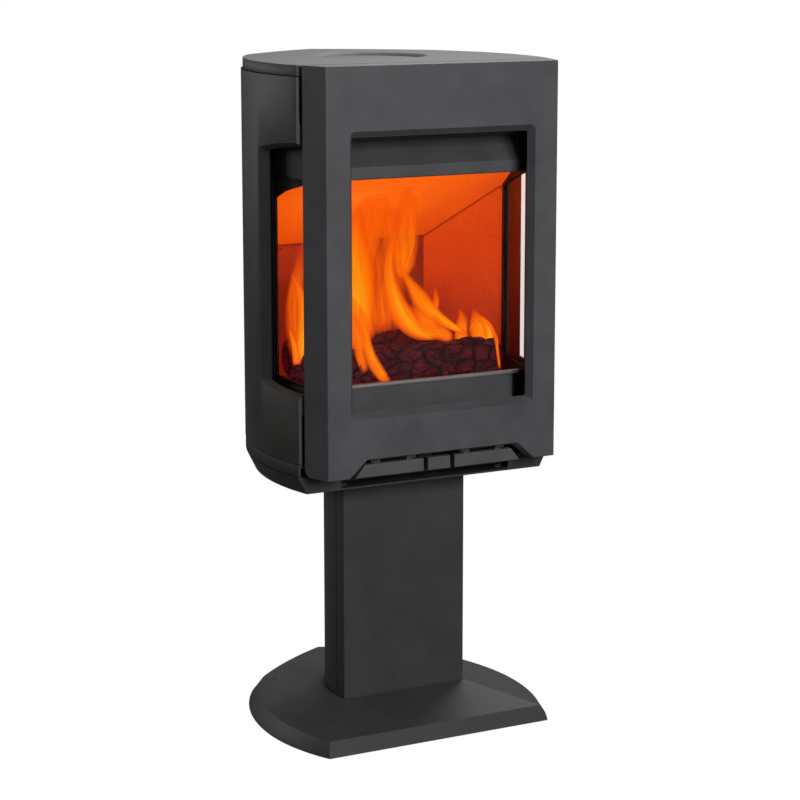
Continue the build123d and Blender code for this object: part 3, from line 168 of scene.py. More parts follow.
# %% Build the sand-cast group
cast_group, cast_in, cast_out = new_group(
    "sand_cast_skin",
    [("Vector", VECTOR, None), ("Grain", FLOAT, 900.0)],
    [("Height", FLOAT), ("Cloud", FLOAT)],
)
fine = add_node(cast_group, "ShaderNodeTexNoise", Detail=3.0, Roughness=0.6)
pits = add_node(cast_group, "ShaderNodeTexVoronoi", {"feature": "F1"})
cloud = add_node(cast_group, "ShaderNodeTexNoise", Scale=14.0, Detail=5.0, Roughness=0.62)
for texture in (fine, pits, cloud):
    wire(cast_group, cast_in.outputs["Vector"], texture.inputs["Vector"])
wire(cast_group, cast_in.outputs["Grain"], fine.inputs["Scale"])
wire(cast_group, maths(cast_group, "MULTIPLY", cast_in.outputs["Grain"], 0.45), pits.inputs["Scale"])
pit_depth = maths(cast_group, "MULTIPLY", pits.outputs["Distance"], 0.5)
height = maths(cast_group, "ADD", fine.outputs["Fac"], pit_depth)
wire(cast_group, height, cast_out.inputs["Height"])
wire(cast_group, cloud.outputs["Fac"], cast_out.inputs["Cloud"])

# %% [markdown]
# ## Group: settled dust
# Fine ash settles on faces that look up, and never evenly. The mask is the upward part of the
# surface's own direction, broken up by noise.

# %% Build the dust group
dust_group, dust_in, dust_out = new_group(
    "settled_dust",
    [("Vector", VECTOR, None), ("Amount", FLOAT, 0.3)],
    [("Mask", FLOAT)],
)
facing = add_node(dust_group, "ShaderNodeNewGeometry")
split = add_node(dust_group, "ShaderNodeSeparateXYZ")
wire(dust_group, facing.outputs["Normal"], split.inputs[0])
upward = maths(dust_group, "POWER", maths(dust_group, "MAXIMUM", split.outputs["Z"], 0.0), 4.0)
patches = add_node(dust_group, "ShaderNodeTexNoise", Scale=38.0, Detail=6.0, Roughness=0.7)
wire(dust_group, dust_in.outputs["Vector"], patches.inputs["Vector"])
dusty = maths(dust_group, "MULTIPLY", upward, patches.outputs["Fac"])
wire(
    dust_group,
    maths(dust_group, "MULTIPLY", dusty, dust_in.outputs["Amount"], clamp=True),
    dust_out.inputs["Mask"],
)


# %% [markdown]
# ## Painted metal
# One recipe serves all the painted castings and sheets. The shade, the coarseness of the grain
# and the amount of dust are its arguments. The numbers that are the same all over, such as the
# specular level, are set on the shader itself.


# %% Recipe for matt stove paint
def stove_paint(name, shade, grain=900.0, bump=0.12, rough=0.55, dust=0.3, metallic=0.0):
    material = bpy.data.materials.new(name)
    material.use_nodes = True
    tree = material.node_tree
    shader = tree.nodes["Principled BSDF"]
    place_on = add_node(tree, "ShaderNodeTexCoord")
    skin = add_node(tree, "ShaderNodeGroup", {"node_tree": cast_group}, Grain=grain)
    dust_on = add_node(tree, "ShaderNodeGroup", {"node_tree": dust_group}, Amount=dust)
    wire(tree, place_on.outputs["Object"], skin.inputs["Vector"])
    wire(tree, place_on.outputs["Object"], dust_on.inputs["Vector"])
    darker = tuple(0.86 * v for v in shade)
    lighter = tuple(1.12 * v for v in shade)
    paint = ramp(tree, skin.outputs["Cloud"], [(0.35, darker), (0.65, lighter)])
    ash = tuple(0.5 * v + 0.12 for v in shade)
    wire(tree, blend_colors(tree, dust_on.outputs["Mask"], paint, ash), shader.inputs["Base Color"])
    dull = maths(tree, "MULTIPLY", skin.outputs["Cloud"], 0.14)
    wire(tree, maths(tree, "ADD", dull, rough - 0.07, clamp=True), shader.inputs["Roughness"])
    relief = add_node(tree, "ShaderNodeBump", Strength=bump, Distance=0.0006)
    wire(tree, skin.outputs["Height"], relief.inputs["Height"])
    wire(tree, relief.outputs["Normal"], shader.inputs["Normal"])
    shader.inputs["Metallic"].default_value = metallic
    shader.inputs["Specular IOR Level"].default_value = 0.45
    return material


# %% [markdown]
# ## Bright steel
# The rail under the pane and the zinc plated screws are drawn or rolled, so their scratches run
# one way. A noise stretched along X gives the streaks, and they change roughness, not colour.


# %% Recipe for drawn steel
def drawn_steel(name, shade, rough):
    material = bpy.data.materials.new(name)
    material.use_nodes = True
    tree = material.node_tree
    shader = tree.nodes["Principled BSDF"]
    place_on = add_node(tree, "ShaderNodeTexCoord")
    stretch = add_node(tree, "ShaderNodeMapping", Scale=(40.0, 2600.0, 2600.0))
    streaks = add_node(tree, "ShaderNodeTexNoise", Scale=1.0, Detail=4.0, Roughness=0.6)
    wire(tree, place_on.outputs["Object"], stretch.inputs["Vector"])
    wire(tree, stretch.outputs["Vector"], streaks.inputs["Vector"])
    tint = ramp(
        tree, streaks.outputs["Fac"], [(0.3, tuple(0.8 * v for v in shade)), (0.7, shade)]
    )
    wire(tree, tint, shader.inputs["Base Color"])
    worn = maths(tree, "MULTIPLY", streaks.outputs["Fac"], 0.25)
    wire(tree, maths(tree, "ADD", worn, rough - 0.1, clamp=True), shader.inputs["Roughness"])
    relief = add_node(tree, "ShaderNodeBump", Strength=0.05, Distance=0.0002)
    wire(tree, streaks.outputs["Fac"], relief.inputs["Height"])
    wire(tree, relief.outputs["Normal"], shader.inputs["Normal"])
    shader.inputs["Metallic"].default_value = 1.0
    return material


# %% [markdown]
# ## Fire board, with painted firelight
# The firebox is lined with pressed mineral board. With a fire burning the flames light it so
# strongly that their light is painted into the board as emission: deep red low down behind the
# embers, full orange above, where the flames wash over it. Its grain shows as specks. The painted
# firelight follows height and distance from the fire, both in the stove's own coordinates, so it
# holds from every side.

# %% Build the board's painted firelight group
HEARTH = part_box("hearth_liner")[1].z
BAFFLE_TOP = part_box("baffle")[1].z
FIRE_HEART = (-0.05, -0.06, HEARTH + 0.3)
# the baffle's underside leans: height plus this slope times depth is the same all over it
BAFFLE_SLOPE, BAFFLE_LINE = 0.63, 0.8666
firelight_group, firelight_in, firelight_out = new_group(
    "painted_firelight",
    [("Vector", VECTOR, None), ("Coolness", FLOAT, 0.0), ("Soot", FLOAT, 1.0)],
    [("PaintedLight", COLOR), ("Speck", FLOAT)],
)
axes = add_node(firelight_group, "ShaderNodeSeparateXYZ")
wire(firelight_group, firelight_in.outputs["Vector"], axes.inputs[0])
climb = add_node(firelight_group, "ShaderNodeMapRange", From_Min=HEARTH, From_Max=BAFFLE_TOP)
wire(firelight_group, axes.outputs["Z"], climb.inputs["Value"])
away = add_node(firelight_group, "ShaderNodeVectorMath", {"operation": "DISTANCE"})
wire(firelight_group, firelight_in.outputs["Vector"], away.inputs[0])
away.inputs[1].default_value = FIRE_HEART
# painted light: the boards are brighter near the heart of the fire, a pool of its light
near_fire = add_node(
    firelight_group, "ShaderNodeMapRange", From_Min=0.32, From_Max=0.06, To_Min=0.0, To_Max=0.45
)
wire(firelight_group, away.outputs["Value"], near_fire.inputs["Value"])
wash = add_node(firelight_group, "ShaderNodeTexNoise", Scale=9.0, Detail=2.0, Roughness=0.5)
specks = add_node(firelight_group, "ShaderNodeTexNoise", Scale=420.0, Detail=4.0, Roughness=0.75)
for texture in (wash, specks):
    wire(firelight_group, firelight_in.outputs["Vector"], texture.inputs["Vector"])
drift = maths(firelight_group, "MULTIPLY", maths(firelight_group, "SUBTRACT", wash.outputs["Fac"], 0.5), 0.35)
# painted light: the firelight painted on the boards grows with height, where the flames wash over them
rising = maths(firelight_group, "MULTIPLY", climb.outputs["Result"], 0.62)
firelight_level = maths(firelight_group, "ADD", maths(firelight_group, "ADD", rising, drift), near_fire.outputs["Result"])
# painted light: each board's own dimming of the painted firelight
firelight_level = maths(firelight_group, "SUBTRACT", firelight_level, firelight_in.outputs["Coolness"], clamp=True)
firelight_color = ramp(
    firelight_group,
    firelight_level,
    [
        (0.0, (0.17, 0.008, 0.004)),
        (0.18, (0.38, 0.022, 0.006)),
        (0.4, (0.60, 0.042, 0.005)),
        (0.68, (0.74, 0.062, 0.004)),
        (1.0, (1.0, 0.125, 0.002)),
    ],
)
grain = add_node(firelight_group, "ShaderNodeMapRange", From_Min=0.3, From_Max=0.7, To_Min=0.72, To_Max=1.22)
wire(firelight_group, specks.outputs["Fac"], grain.inputs["Value"])
# painted shade: the firelight on the back board is darkened along the crease where it meets the baffle's
# underside
sloped = maths(firelight_group, "MULTIPLY", axes.outputs["Y"], BAFFLE_SLOPE)
leaning = maths(firelight_group, "ADD", axes.outputs["Z"], sloped)
from_joint = maths(firelight_group, "ABSOLUTE", maths(firelight_group, "SUBTRACT", leaning, BAFFLE_LINE))
joint = add_node(firelight_group, "ShaderNodeMapRange", From_Min=0.001, From_Max=0.006, To_Min=0.3, To_Max=1.0)
wire(firelight_group, from_joint, joint.inputs["Value"])
joint_shaded = maths(firelight_group, "MULTIPLY", grain.outputs["Result"], joint.outputs["Result"])
joint_shaded = blend_colors(firelight_group, firelight_in.outputs["Soot"], grain.outputs["Result"], joint_shaded)
scaled = add_node(firelight_group, "ShaderNodeVectorMath", {"operation": "SCALE"})
wire(firelight_group, firelight_color, scaled.inputs[0])
wire(firelight_group, joint_shaded, scaled.inputs["Scale"])
wire(firelight_group, scaled.outputs["Vector"], firelight_out.inputs["PaintedLight"])
wire(firelight_group, specks.outputs["Fac"], firelight_out.inputs["Speck"])


# %% Recipe for the boards
def fire_board(name, firelight_dimming=0.0, joint_shade=1.0):
    material = bpy.data.materials.new(name)
    material.use_nodes = True
    tree = material.node_tree
    shader = tree.nodes["Principled BSDF"]
    place_on = add_node(tree, "ShaderNodeTexCoord")
    board_firelight = add_node(tree, "ShaderNodeGroup", {"node_tree": firelight_group}, Coolness=firelight_dimming, Soot=joint_shade)
    wire(tree, place_on.outputs["Object"], board_firelight.inputs["Vector"])
    tone = ramp(tree, board_firelight.outputs["Speck"], [(0.35, (0.08, 0.026, 0.008)), (0.65, (0.14, 0.045, 0.014))])
    wire(tree, tone, shader.inputs["Base Color"])
    # the emission is painted firelight falling on the board
    wire(tree, board_firelight.outputs["PaintedLight"], shader.inputs["Emission Color"])
    shader.inputs["Emission Strength"].default_value = 1.0
    relief = add_node(tree, "ShaderNodeBump", Strength=0.4, Distance=0.001)
    wire(tree, board_firelight.outputs["Speck"], relief.inputs["Height"])
    wire(tree, relief.outputs["Normal"], shader.inputs["Normal"])
    shader.inputs["Roughness"].default_value = 0.95
    shader.inputs["Specular IOR Level"].default_value = 0.0
    return material


# %% [markdown]
# ## Glass and rope
# The panes are glass ceramic: clear, flat, slightly smoky near the edges. A plain transmissive
# shader is right for a real slab with two faces, because light bends in and bends back out.
# The rope seal is knitted glass fibre gone dark with use.


# %% Glass, rope and cloth-like seal
def clear_glass(name):
    material = bpy.data.materials.new(name)
    material.use_nodes = True
    shader = material.node_tree.nodes["Principled BSDF"]
    shader.inputs["Base Color"].default_value = (0.97, 0.95, 0.92, 1.0)
    shader.inputs["Transmission Weight"].default_value = 1.0
    shader.inputs["Roughness"].default_value = 0.0
    shader.inputs["IOR"].default_value = 1.3
    return material


def knitted_rope(name, shade):
    material = bpy.data.materials.new(name)
    material.use_nodes = True
    tree = material.node_tree
    shader = tree.nodes["Principled BSDF"]
    place_on = add_node(tree, "ShaderNodeTexCoord")
    fibres = add_node(tree, "ShaderNodeTexNoise", Scale=1500.0, Detail=3.0, Roughness=0.7)
    wire(tree, place_on.outputs["Object"], fibres.inputs["Vector"])
    tone = ramp(
        tree, fibres.outputs["Fac"], [(0.35, tuple(0.5 * v for v in shade)), (0.65, shade)]
    )
    wire(tree, tone, shader.inputs["Base Color"])
    relief = add_node(tree, "ShaderNodeBump", Strength=0.5, Distance=0.0008)
    wire(tree, fibres.outputs["Fac"], relief.inputs["Height"])
    wire(tree, relief.outputs["Normal"], shader.inputs["Normal"])
    shader.inputs["Roughness"].default_value = 0.95
    shader.inputs["Sheen Weight"].default_value = 0.2
    return material


# %% [markdown]
# ## Who wears what
# The stove's own record says which material slot each casting has, so the finishes are keyed by
# slot. Rolled sheet is smoother than cast iron, so its grain is finer and its bump is lower.

# %% Make the finishes and dress the castings
finishes = {
    "door_cast_iron": stove_paint("door_paint", (0.088, 0.086, 0.096), grain=430.0, bump=0.3, dust=0.1),
    "side_cast_iron": stove_paint("side_paint", (0.064, 0.061, 0.056), grain=430.0, bump=0.3, dust=0.15),
    "top_cast_iron": stove_paint("top_paint", (0.09, 0.084, 0.079), grain=430.0, bump=0.25, dust=0.35),
    "painted_cast_iron": stove_paint("base_paint", (0.046, 0.045, 0.049), grain=430.0, bump=0.3, dust=0.2),
    "column_steel": stove_paint("column_paint", (0.05, 0.049, 0.053), grain=1500.0, bump=0.05),
    "painted_sheet_steel": stove_paint("sheet_paint", (0.035, 0.035, 0.036), grain=1500.0, bump=0.05),
    "handle_steel": stove_paint("handle_paint", (0.1, 0.098, 0.106), grain=600.0, bump=0.15, rough=0.5),
    "hood_steel": stove_paint(
        "hood_paint", (0.085, 0.085, 0.09), grain=1500.0, bump=0.03, rough=0.42, dust=0.1
    ),
    "firebox_steel": stove_paint("firebox_paint", (0.022, 0.02, 0.019), grain=1200.0, rough=0.6, dust=0.0),
    "bare_cast_iron": stove_paint("raw_iron", (0.05, 0.04, 0.035), grain=500.0, bump=0.4, rough=0.7),
    # painted highlight: the steel rail gets a light grey, half-metallic paint so that it shows as the
    # bright band its highlight makes
    "bright_rail": stove_paint(
        "rail_painted_highlight", (0.3, 0.3, 0.29), grain=900.0, bump=0.05, rough=0.35, metallic=0.4
    ),
    "zinc_plated_steel": drawn_steel("zinc", (0.42, 0.42, 0.40), 0.42),
    "fire_board": fire_board("board"),
    "fire_glass": clear_glass("pane_glass"),
    "rope_seal": knitted_rope("seal_rope", (0.09, 0.085, 0.08)),
}
slot_of = {part["node"]: part["material_slot"] for part in frame["record"]["subparts"]}
for name, node in nodes.items():
    for socket in node.material_slots:
        socket.material = finishes[slot_of[name]]
# painted shade: the recessed flue cover gets a darker copy of the top plate's paint, for the shade in its
# recess
for socket in nodes["flue_cover"].material_slots:
    socket.material = stove_paint("cover_paint_recess_shade", (0.062, 0.058, 0.056), grain=430.0, bump=0.25)
# painted light: each board gets its own dimming of the painted firelight, the hearth and back boards
# darker and the baffle brighter; the painted shade along the baffle joint is left off the baffle itself
for name, board_dimming in {"hearth_liner": 0.6, "back_liner": 0.42, "baffle": -0.12}.items():
    for socket in nodes[name].material_slots:
        socket.material = fire_board("board_" + name, board_dimming, 0.0 if name == "baffle" else 1.0)
print(len(finishes), "finishes on", len(nodes), "castings and sheets")

# %% [markdown]
# ## Soft edges on the castings
# No casting has a razor edge: the sand and the paint round it to about a millimetre, and that
# thin round catches the light. A Bevel modifier cuts it without touching the machined model. It
# needs whole faces to work on, so a Weld joins the loose triangles and a planar Decimate takes
# out the edges inside each flat face first.

# %% Round the edges of the visible castings
EDGE_ROUNDS = {
    "base_plate": 1.2,
    "lower_tray": 0.9,
    "deck_casting": 0.9,
    "casing_left": 1.2,
    "casing_right": 1.2,
    "door_casting": 1.5,
    "top_plate": 0.8,
    "column_front_cover": 0.7,
    "column_rear_shell": 0.7,
    "back_cover": 0.6,
    "sill_panel": 0.5,
    "flue_collar": 0.8,
}
for name, radius in EDGE_ROUNDS.items():
    node = nodes[name]
    weld = node.modifiers.new("join_triangles", "WELD")
    weld.merge_threshold = 0.00001
    flat = node.modifiers.new("whole_faces", "DECIMATE")
    flat.decimate_type = "DISSOLVE"
    flat.angle_limit = math.radians(0.4)
    soft = node.modifiers.new("cast_edge", "BEVEL")
    soft.width = radius * MM
    soft.segments = 2
    soft.limit_method = "ANGLE"
    soft.angle_limit = math.radians(28)
    soft.harden_normals = False
print("rounded", len(EDGE_ROUNDS), "castings")

# %% [markdown]
# ## Charred wood
# A log that has burned for a while is black with a crust of small blocks, split along and across
# the grain. The block faces carry a dull maroon glow that is painted firelight, with patches of
# brighter ember glow, and the cracks are drawn black as painted shade in them. The blocks are
# real relief: the round bar is cut into many faces, and each point moves in where a cell pattern
# says a crack runs.


# %% Recipe for char
def char_material(name, block_size, dull, glowing, strength):
    material = bpy.data.materials.new(name)
    material.use_nodes = True
    tree = material.node_tree
    shader = tree.nodes["Principled BSDF"]
    place_on = add_node(tree, "ShaderNodeTexCoord")
    squeeze = add_node(tree, "ShaderNodeMapping", Scale=(0.7, 1.0, 1.25))
    wobble = add_node(tree, "ShaderNodeTexNoise", Scale=60.0, Detail=4.0, Roughness=0.6)
    nudged = add_node(tree, "ShaderNodeVectorMath", {"operation": "MULTIPLY_ADD"})
    blocks = add_node(
        tree, "ShaderNodeTexVoronoi", {"feature": "DISTANCE_TO_EDGE"}, Scale=1000.0 / block_size
    )
    ashen = add_node(tree, "ShaderNodeTexNoise", Scale=190.0, Detail=6.0, Roughness=0.75)
    heat_map = add_node(tree, "ShaderNodeTexNoise", Scale=22.0, Detail=3.0, Roughness=0.6)
    wire(tree, place_on.outputs["Object"], squeeze.inputs["Vector"])
    for texture in (wobble, ashen, heat_map):
        wire(tree, place_on.outputs["Object"], texture.inputs["Vector"])
    wire(tree, wobble.outputs["Color"], nudged.inputs[0])
    nudged.inputs[1].default_value = (0.012, 0.012, 0.012)
    wire(tree, squeeze.outputs["Vector"], nudged.inputs[2])
    wire(tree, nudged.outputs["Vector"], blocks.inputs["Vector"])
    # painted shade: black in the cracks, for the base colour and the glow alike
    face = ramp(
        tree, blocks.outputs["Distance"], [(0.0, (0, 0, 0)), (0.05, (0.25, 0.25, 0.25)), (0.14, (1, 1, 1))]
    )
    crust = ramp(
        tree,
        ashen.outputs["Fac"],
        [(0.4, (0.008, 0.001, 0.002)), (0.62, (0.02, 0.005, 0.007)), (0.78, (0.12, 0.06, 0.055))],
    )
    wire(tree, blend_colors(tree, 1.0, crust, face, "MULTIPLY"), shader.inputs["Base Color"])
    mottled = ramp(tree, ashen.outputs["Fac"], [(0.38, (0.2, 0.2, 0.2)), (0.68, (1, 1, 1))])
    # the dull tone is painted firelight on the logs and the coals' own glow on the ember bed; the glowing
    # patches are ember glow
    glow_and_firelight = blend_colors(
        tree, ramp(tree, heat_map.outputs["Fac"], [(0.52, (0, 0, 0)), (0.72, (1, 1, 1))]), dull, glowing
    )
    glow_and_firelight = blend_colors(tree, 1.0, glow_and_firelight, mottled, "MULTIPLY")
    wire(tree, blend_colors(tree, 1.0, glow_and_firelight, face, "MULTIPLY"), shader.inputs["Emission Color"])
    shader.inputs["Emission Strength"].default_value = strength
    relief = add_node(tree, "ShaderNodeBump", Strength=0.8, Distance=0.003)
    rough_height = maths(tree, "MULTIPLY", ashen.outputs["Fac"], 0.4)
    wire(tree, maths(tree, "ADD", face_height(tree, face), rough_height), relief.inputs["Height"])
    wire(tree, relief.outputs["Normal"], shader.inputs["Normal"])
    shader.inputs["Roughness"].default_value = 0.8
    return material


def face_height(tree, color):
    grey = add_node(tree, "ShaderNodeRGBToBW")
    wire(tree, color, grey.inputs[0])
    return grey.outputs[0]


char = char_material("char", 24.0, (0.085, 0.002, 0.011), (0.2, 0.006, 0.016), 1.0)
coal = char_material("hot_coal", 17.0, (0.09, 0.004, 0.010), (0.55, 0.05, 0.01), 1.0)

# %% Build the logs
LOG_ROUND = 64
LOG_TAPER = 0.94  # radius of the thin end, as a share of the thick end's
LOG_STEP = 3.2 * MM  # length of one face along the log
END_RINGS = 7
CRACK_DEPTH = 3.4
CRACK_WIDTH = 0.16
# ends of each log's axis (x, y, height above the hearth) in millimetres, and its radius
LOGS = {
    "log_front": ((-174, -112, 38), (178, -104, 38), 37),
    "log_middle": ((-160, -34, 44), (164, -26, 42), 40),
    "log_back": ((-138, 42, 36), (138, 50, 36), 34),
}


def char_depth(point, size):
    """How far a crack cuts in at a point: cells give the blocks, noise the broad lumps."""
    near = noise.voronoi(point * size)[0]
    edge = near[1] - near[0]
    crack = max(0.0, 1.0 - edge / CRACK_WIDTH)
    return CRACK_DEPTH * crack * crack


def charred_log(name, start, end, radius, seed):
    low = Vector(start) * MM + Vector((0, 0, HEARTH))
    high = Vector(end) * MM + Vector((0, 0, HEARTH))
    length = (high - low).length
    bm = bmesh.new()
    thick, thin = radius * MM, radius * LOG_TAPER * MM
    bmesh.ops.create_cone(
        bm, cap_ends=True, segments=LOG_ROUND, radius1=thick, radius2=thin, depth=length
    )
    long_edges = [e for e in bm.edges if abs((e.verts[0].co - e.verts[1].co).z) > length / 2]
    bmesh.ops.subdivide_edges(bm, edges=long_edges, cuts=int(length / LOG_STEP), use_grid_fill=True)
    for cap in [f for f in bm.faces if len(f.verts) > 4]:
        rings = [cap]
        for _ in range(END_RINGS):
            bmesh.ops.inset_region(bm, faces=rings, thickness=radius * 0.12 * MM, use_even_offset=True)
    offset = Vector((seed * 0.37, seed * 0.11, 0.0))
    for vert in bm.verts:
        outward = Vector((vert.co.x, vert.co.y, 0.0))
        share = min(1.0, outward.length / (radius * MM))
        place_in_wood = vert.co + offset
        broad = noise.noise(place_in_wood * 18) * 5.0 + noise.noise(place_in_wood * 55) * 2.0
        depth = (broad - char_depth(place_in_wood, 42) * 1.2) * MM
        if outward.length > 1e-6:
            vert.co += outward.normalized() * depth * share
        vert.co.z += math.copysign(noise.noise(place_in_wood * 70) * 4.5 * MM, vert.co.z) * (1.0 - share)
    turn = Vector((0, 0, 1)).rotation_difference(high - low).to_matrix().to_4x4()
    place(bm.verts, Matrix.Translation((low + high) / 2) @ turn)
    return finish_piece(name, bm, char, "stove")


for index, (name, (start, end, radius)) in enumerate(LOGS.items()):
    charred_log(name, start, end, radius, index + 1)

# %% [markdown]
# ## Ember bed
# Under the logs lies a bed of coals and ash. A sheet of faces over the hearth is pushed up into
# lumps, and its rim is taken straight down to the hearth and closed, so the heap is solid.

# %% Build the ember bed
bed = bmesh.new()
bmesh.ops.create_grid(bed, x_segments=110, y_segments=72, size=0.5)
BED_X, BED_Y, BED_MIDDLE = 0.34, 0.215, Vector((0.0, -0.052, HEARTH + 0.0006))
for vert in bed.verts:
    across, along = vert.co.x, vert.co.y
    spot = Vector((across * BED_X, along * BED_Y, 0.0))
    edge_fall = min(1.0, (0.5 - abs(across)) * 8) * min(1.0, (0.5 - abs(along)) * 6)
    lumps = 13.0 + 9.0 * noise.noise(spot * 45) + 6.0 * noise.noise(spot * 120)
    cells = noise.voronoi(spot * 90)[0]
    crevice = 5.0 * max(0.0, 1.0 - (cells[1] - cells[0]) / 0.25)
    vert.co = BED_MIDDLE + spot + Vector((0, 0, max(0.6, (lumps - crevice) * edge_fall) * MM))
rim = [e for e in bed.edges if e.is_boundary]
skirt = bmesh.ops.extrude_edge_only(bed, edges=rim)["geom"]
for vert in [g for g in skirt if isinstance(g, bmesh.types.BMVert)]:
    vert.co.z = BED_MIDDLE.z
bmesh.ops.holes_fill(bed, edges=[e for e in bed.edges if e.is_boundary])
finish_piece("ember_bed", bed, coal, "stove")

# %% Scatter loose coals between the logs
random.seed(7)
coals = bmesh.new()
for index in range(46):
    seat = Vector((random.uniform(-0.165, 0.165), random.uniform(-0.155, 0.035), 0.0))
    size = random.uniform(6.0, 12.0) * MM
    lump = bmesh.ops.create_icosphere(coals, subdivisions=3, radius=size)["verts"]
    turn = Euler([random.uniform(0, math.tau) for _ in range(3)]).to_matrix().to_4x4()
    for vert in lump:
        vert.co *= 1.0 + 0.35 * noise.noise(vert.co * 130 + seat * 90)
        vert.co.z *= 0.75
    place(lump, Matrix.Translation(seat + Vector((0, 0, HEARTH + 0.016 + size * 0.5))) @ turn)
finish_piece("loose_coals", coals, coal, "stove")

# %% [markdown]
# ## Flames
# A flame has no surface, but a soft ribbon shaped like a blade of grass reads as one: wide where
# the gas burns, tapering to a point, drawn out along its own length. Each tongue is a closed
# skin carried along a smooth spine. Every point remembers how far along the tongue it is and how
# far across, and the material draws streaks along it and fades it at the edges with those two.

# %% Recipe for flame
flame = bpy.data.materials.new("flame")
flame.use_nodes = True
tree = flame.node_tree
shader = tree.nodes["Principled BSDF"]
marks = {
    label: add_node(tree, "ShaderNodeAttribute", {"attribute_name": label}).outputs["Fac"]
    for label in ("along", "across", "bright", "seed")
}
flow = add_node(tree, "ShaderNodeCombineXYZ")
wire(tree, maths(tree, "MULTIPLY", marks["across"], 1.6), flow.inputs["X"])
wire(tree, maths(tree, "MULTIPLY", marks["along"], 1.5), flow.inputs["Y"])
wire(tree, marks["seed"], flow.inputs["Z"])
wisps = add_node(tree, "ShaderNodeTexNoise", Scale=1.6, Detail=4.0, Roughness=0.55, Distortion=0.9)
wire(tree, flow.outputs["Vector"], wisps.inputs["Vector"])
streak = maths(tree, "MULTIPLY", maths(tree, "SUBTRACT", wisps.outputs["Fac"], 0.5), 2.2)
ragged = maths(tree, "MULTIPLY", streak, 0.28)
off_axis = maths(tree, "ADD", maths(tree, "ABSOLUTE", marks["across"]), ragged, clamp=True)
edge = maths(tree, "POWER", off_axis, 1.9)
inside = maths(tree, "SUBTRACT", 1.0, edge, clamp=True)
tip = maths(tree, "SUBTRACT", 1.0, maths(tree, "POWER", marks["along"], 2.6), clamp=True)
foot = maths(tree, "MULTIPLY", marks["along"], 10.0, clamp=True)
body_fade = maths(tree, "MULTIPLY", maths(tree, "MULTIPLY", inside, tip), foot)
lively = maths(tree, "ADD", maths(tree, "MULTIPLY", streak, 0.7), marks["bright"])
core = maths(tree, "MULTIPLY", maths(tree, "MULTIPLY", body_fade, lively), 0.66, clamp=True)
fire_color = ramp(
    tree,
    core,
    [
        (0.0, (0.72, 0.05, 0.002)),
        (0.3, (1.0, 0.12, 0.002)),
        (0.6, (1.0, 0.21, 0.003)),
        (0.85, (1.0, 0.38, 0.01)),
        (1.0, (1.0, 0.60, 0.04)),
    ],
)
wire(tree, fire_color, shader.inputs["Emission Color"])
shader.inputs["Emission Strength"].default_value = 1.05
veil = maths(tree, "MULTIPLY", body_fade, maths(tree, "ADD", streak, marks["bright"]))
wire(tree, maths(tree, "MULTIPLY", veil, 1.1, clamp=True), shader.inputs["Alpha"])
shader.inputs["Base Color"].default_value = (0.0, 0.0, 0.0, 1.0)
shader.inputs["Specular IOR Level"].default_value = 0.0
shader.inputs["Roughness"].default_value = 1.0

# %% Carry a tongue along its spine
TONGUE_SIDES, TONGUE_RINGS = 16, 30
FLATNESS = 0.32


def spine_at(points, t):
    """A smooth curve through the spine's points: Catmull and Rom's rule between neighbours."""
    place_on_spine = t * (len(points) - 1)
    index = min(int(place_on_spine), len(points) - 2)
    part = place_on_spine - index
    before, here, after, beyond = (
        Vector(points[max(0, min(len(points) - 1, index + k))]) for k in (-1, 0, 1, 2)
    )
    return 0.5 * (
        2 * here
        + (after - before) * part
        + (2 * before - 5 * here + 4 * after - beyond) * part**2
        + (3 * here - 3 * after + beyond - before) * part**3
    )


def tongue_frame(points, depth, twist, t):
    """The matrix that puts a unit ring on the spine, square to it, with its width and thickness."""
    x, z, half = spine_at(points, t)
    ahead = spine_at(points, min(1.0, t + 0.02)) - spine_at(points, max(0.0, t - 0.02))
    heading = Vector((ahead.x, 0.0, ahead.y)).normalized()
    turn = Matrix.Rotation(twist + 0.35 * math.sin(5 * t + depth), 3, heading)
    side = turn @ heading.cross(Vector((0, 1, 0)))
    deep = side.cross(heading)
    half = max(half, 0.5)
    wave = 0.35 * half * math.sin(6 * t + depth)
    basis = Matrix((side * half * MM, deep * max(half * FLATNESS, 0.4) * MM, heading)).transposed()
    where = Vector((x, depth + wave, z)) * MM + Vector((0, 0, HEARTH))
    return Matrix.Translation(where) @ basis.to_4x4()


def flame_tongue(bm, layers, depth, bright_now, points, twist, seed):
    frames = [tongue_frame(points, depth, twist, i / TONGUE_RINGS) for i in range(TONGUE_RINGS + 1)]
    ring = bmesh.ops.create_circle(bm, segments=TONGUE_SIDES, radius=1.0)["verts"]
    loop = list({e for v in ring for e in v.link_edges})
    place(ring, frames[0])
    everything = list(ring)
    for index, here in enumerate(frames):
        if index:
            grown = bmesh.ops.extrude_edge_only(bm, edges=loop)["geom"]
            ring = [g for g in grown if isinstance(g, bmesh.types.BMVert)]
            fresh = set(ring)
            loop = [
                g for g in grown
                if isinstance(g, bmesh.types.BMEdge) and fresh.issuperset(g.verts)
            ]
            place(ring, here @ frames[index - 1].inverted())
            everything += ring
        back = here.inverted()
        for vert in ring:
            values = (index / TONGUE_RINGS, (back @ vert.co).x, bright_now, seed)
            for layer, value in zip(layers, values):
                vert[layer] = value
    ends = {e for v in everything for e in v.link_edges if e.is_boundary}
    bmesh.ops.holes_fill(bm, edges=list(ends))


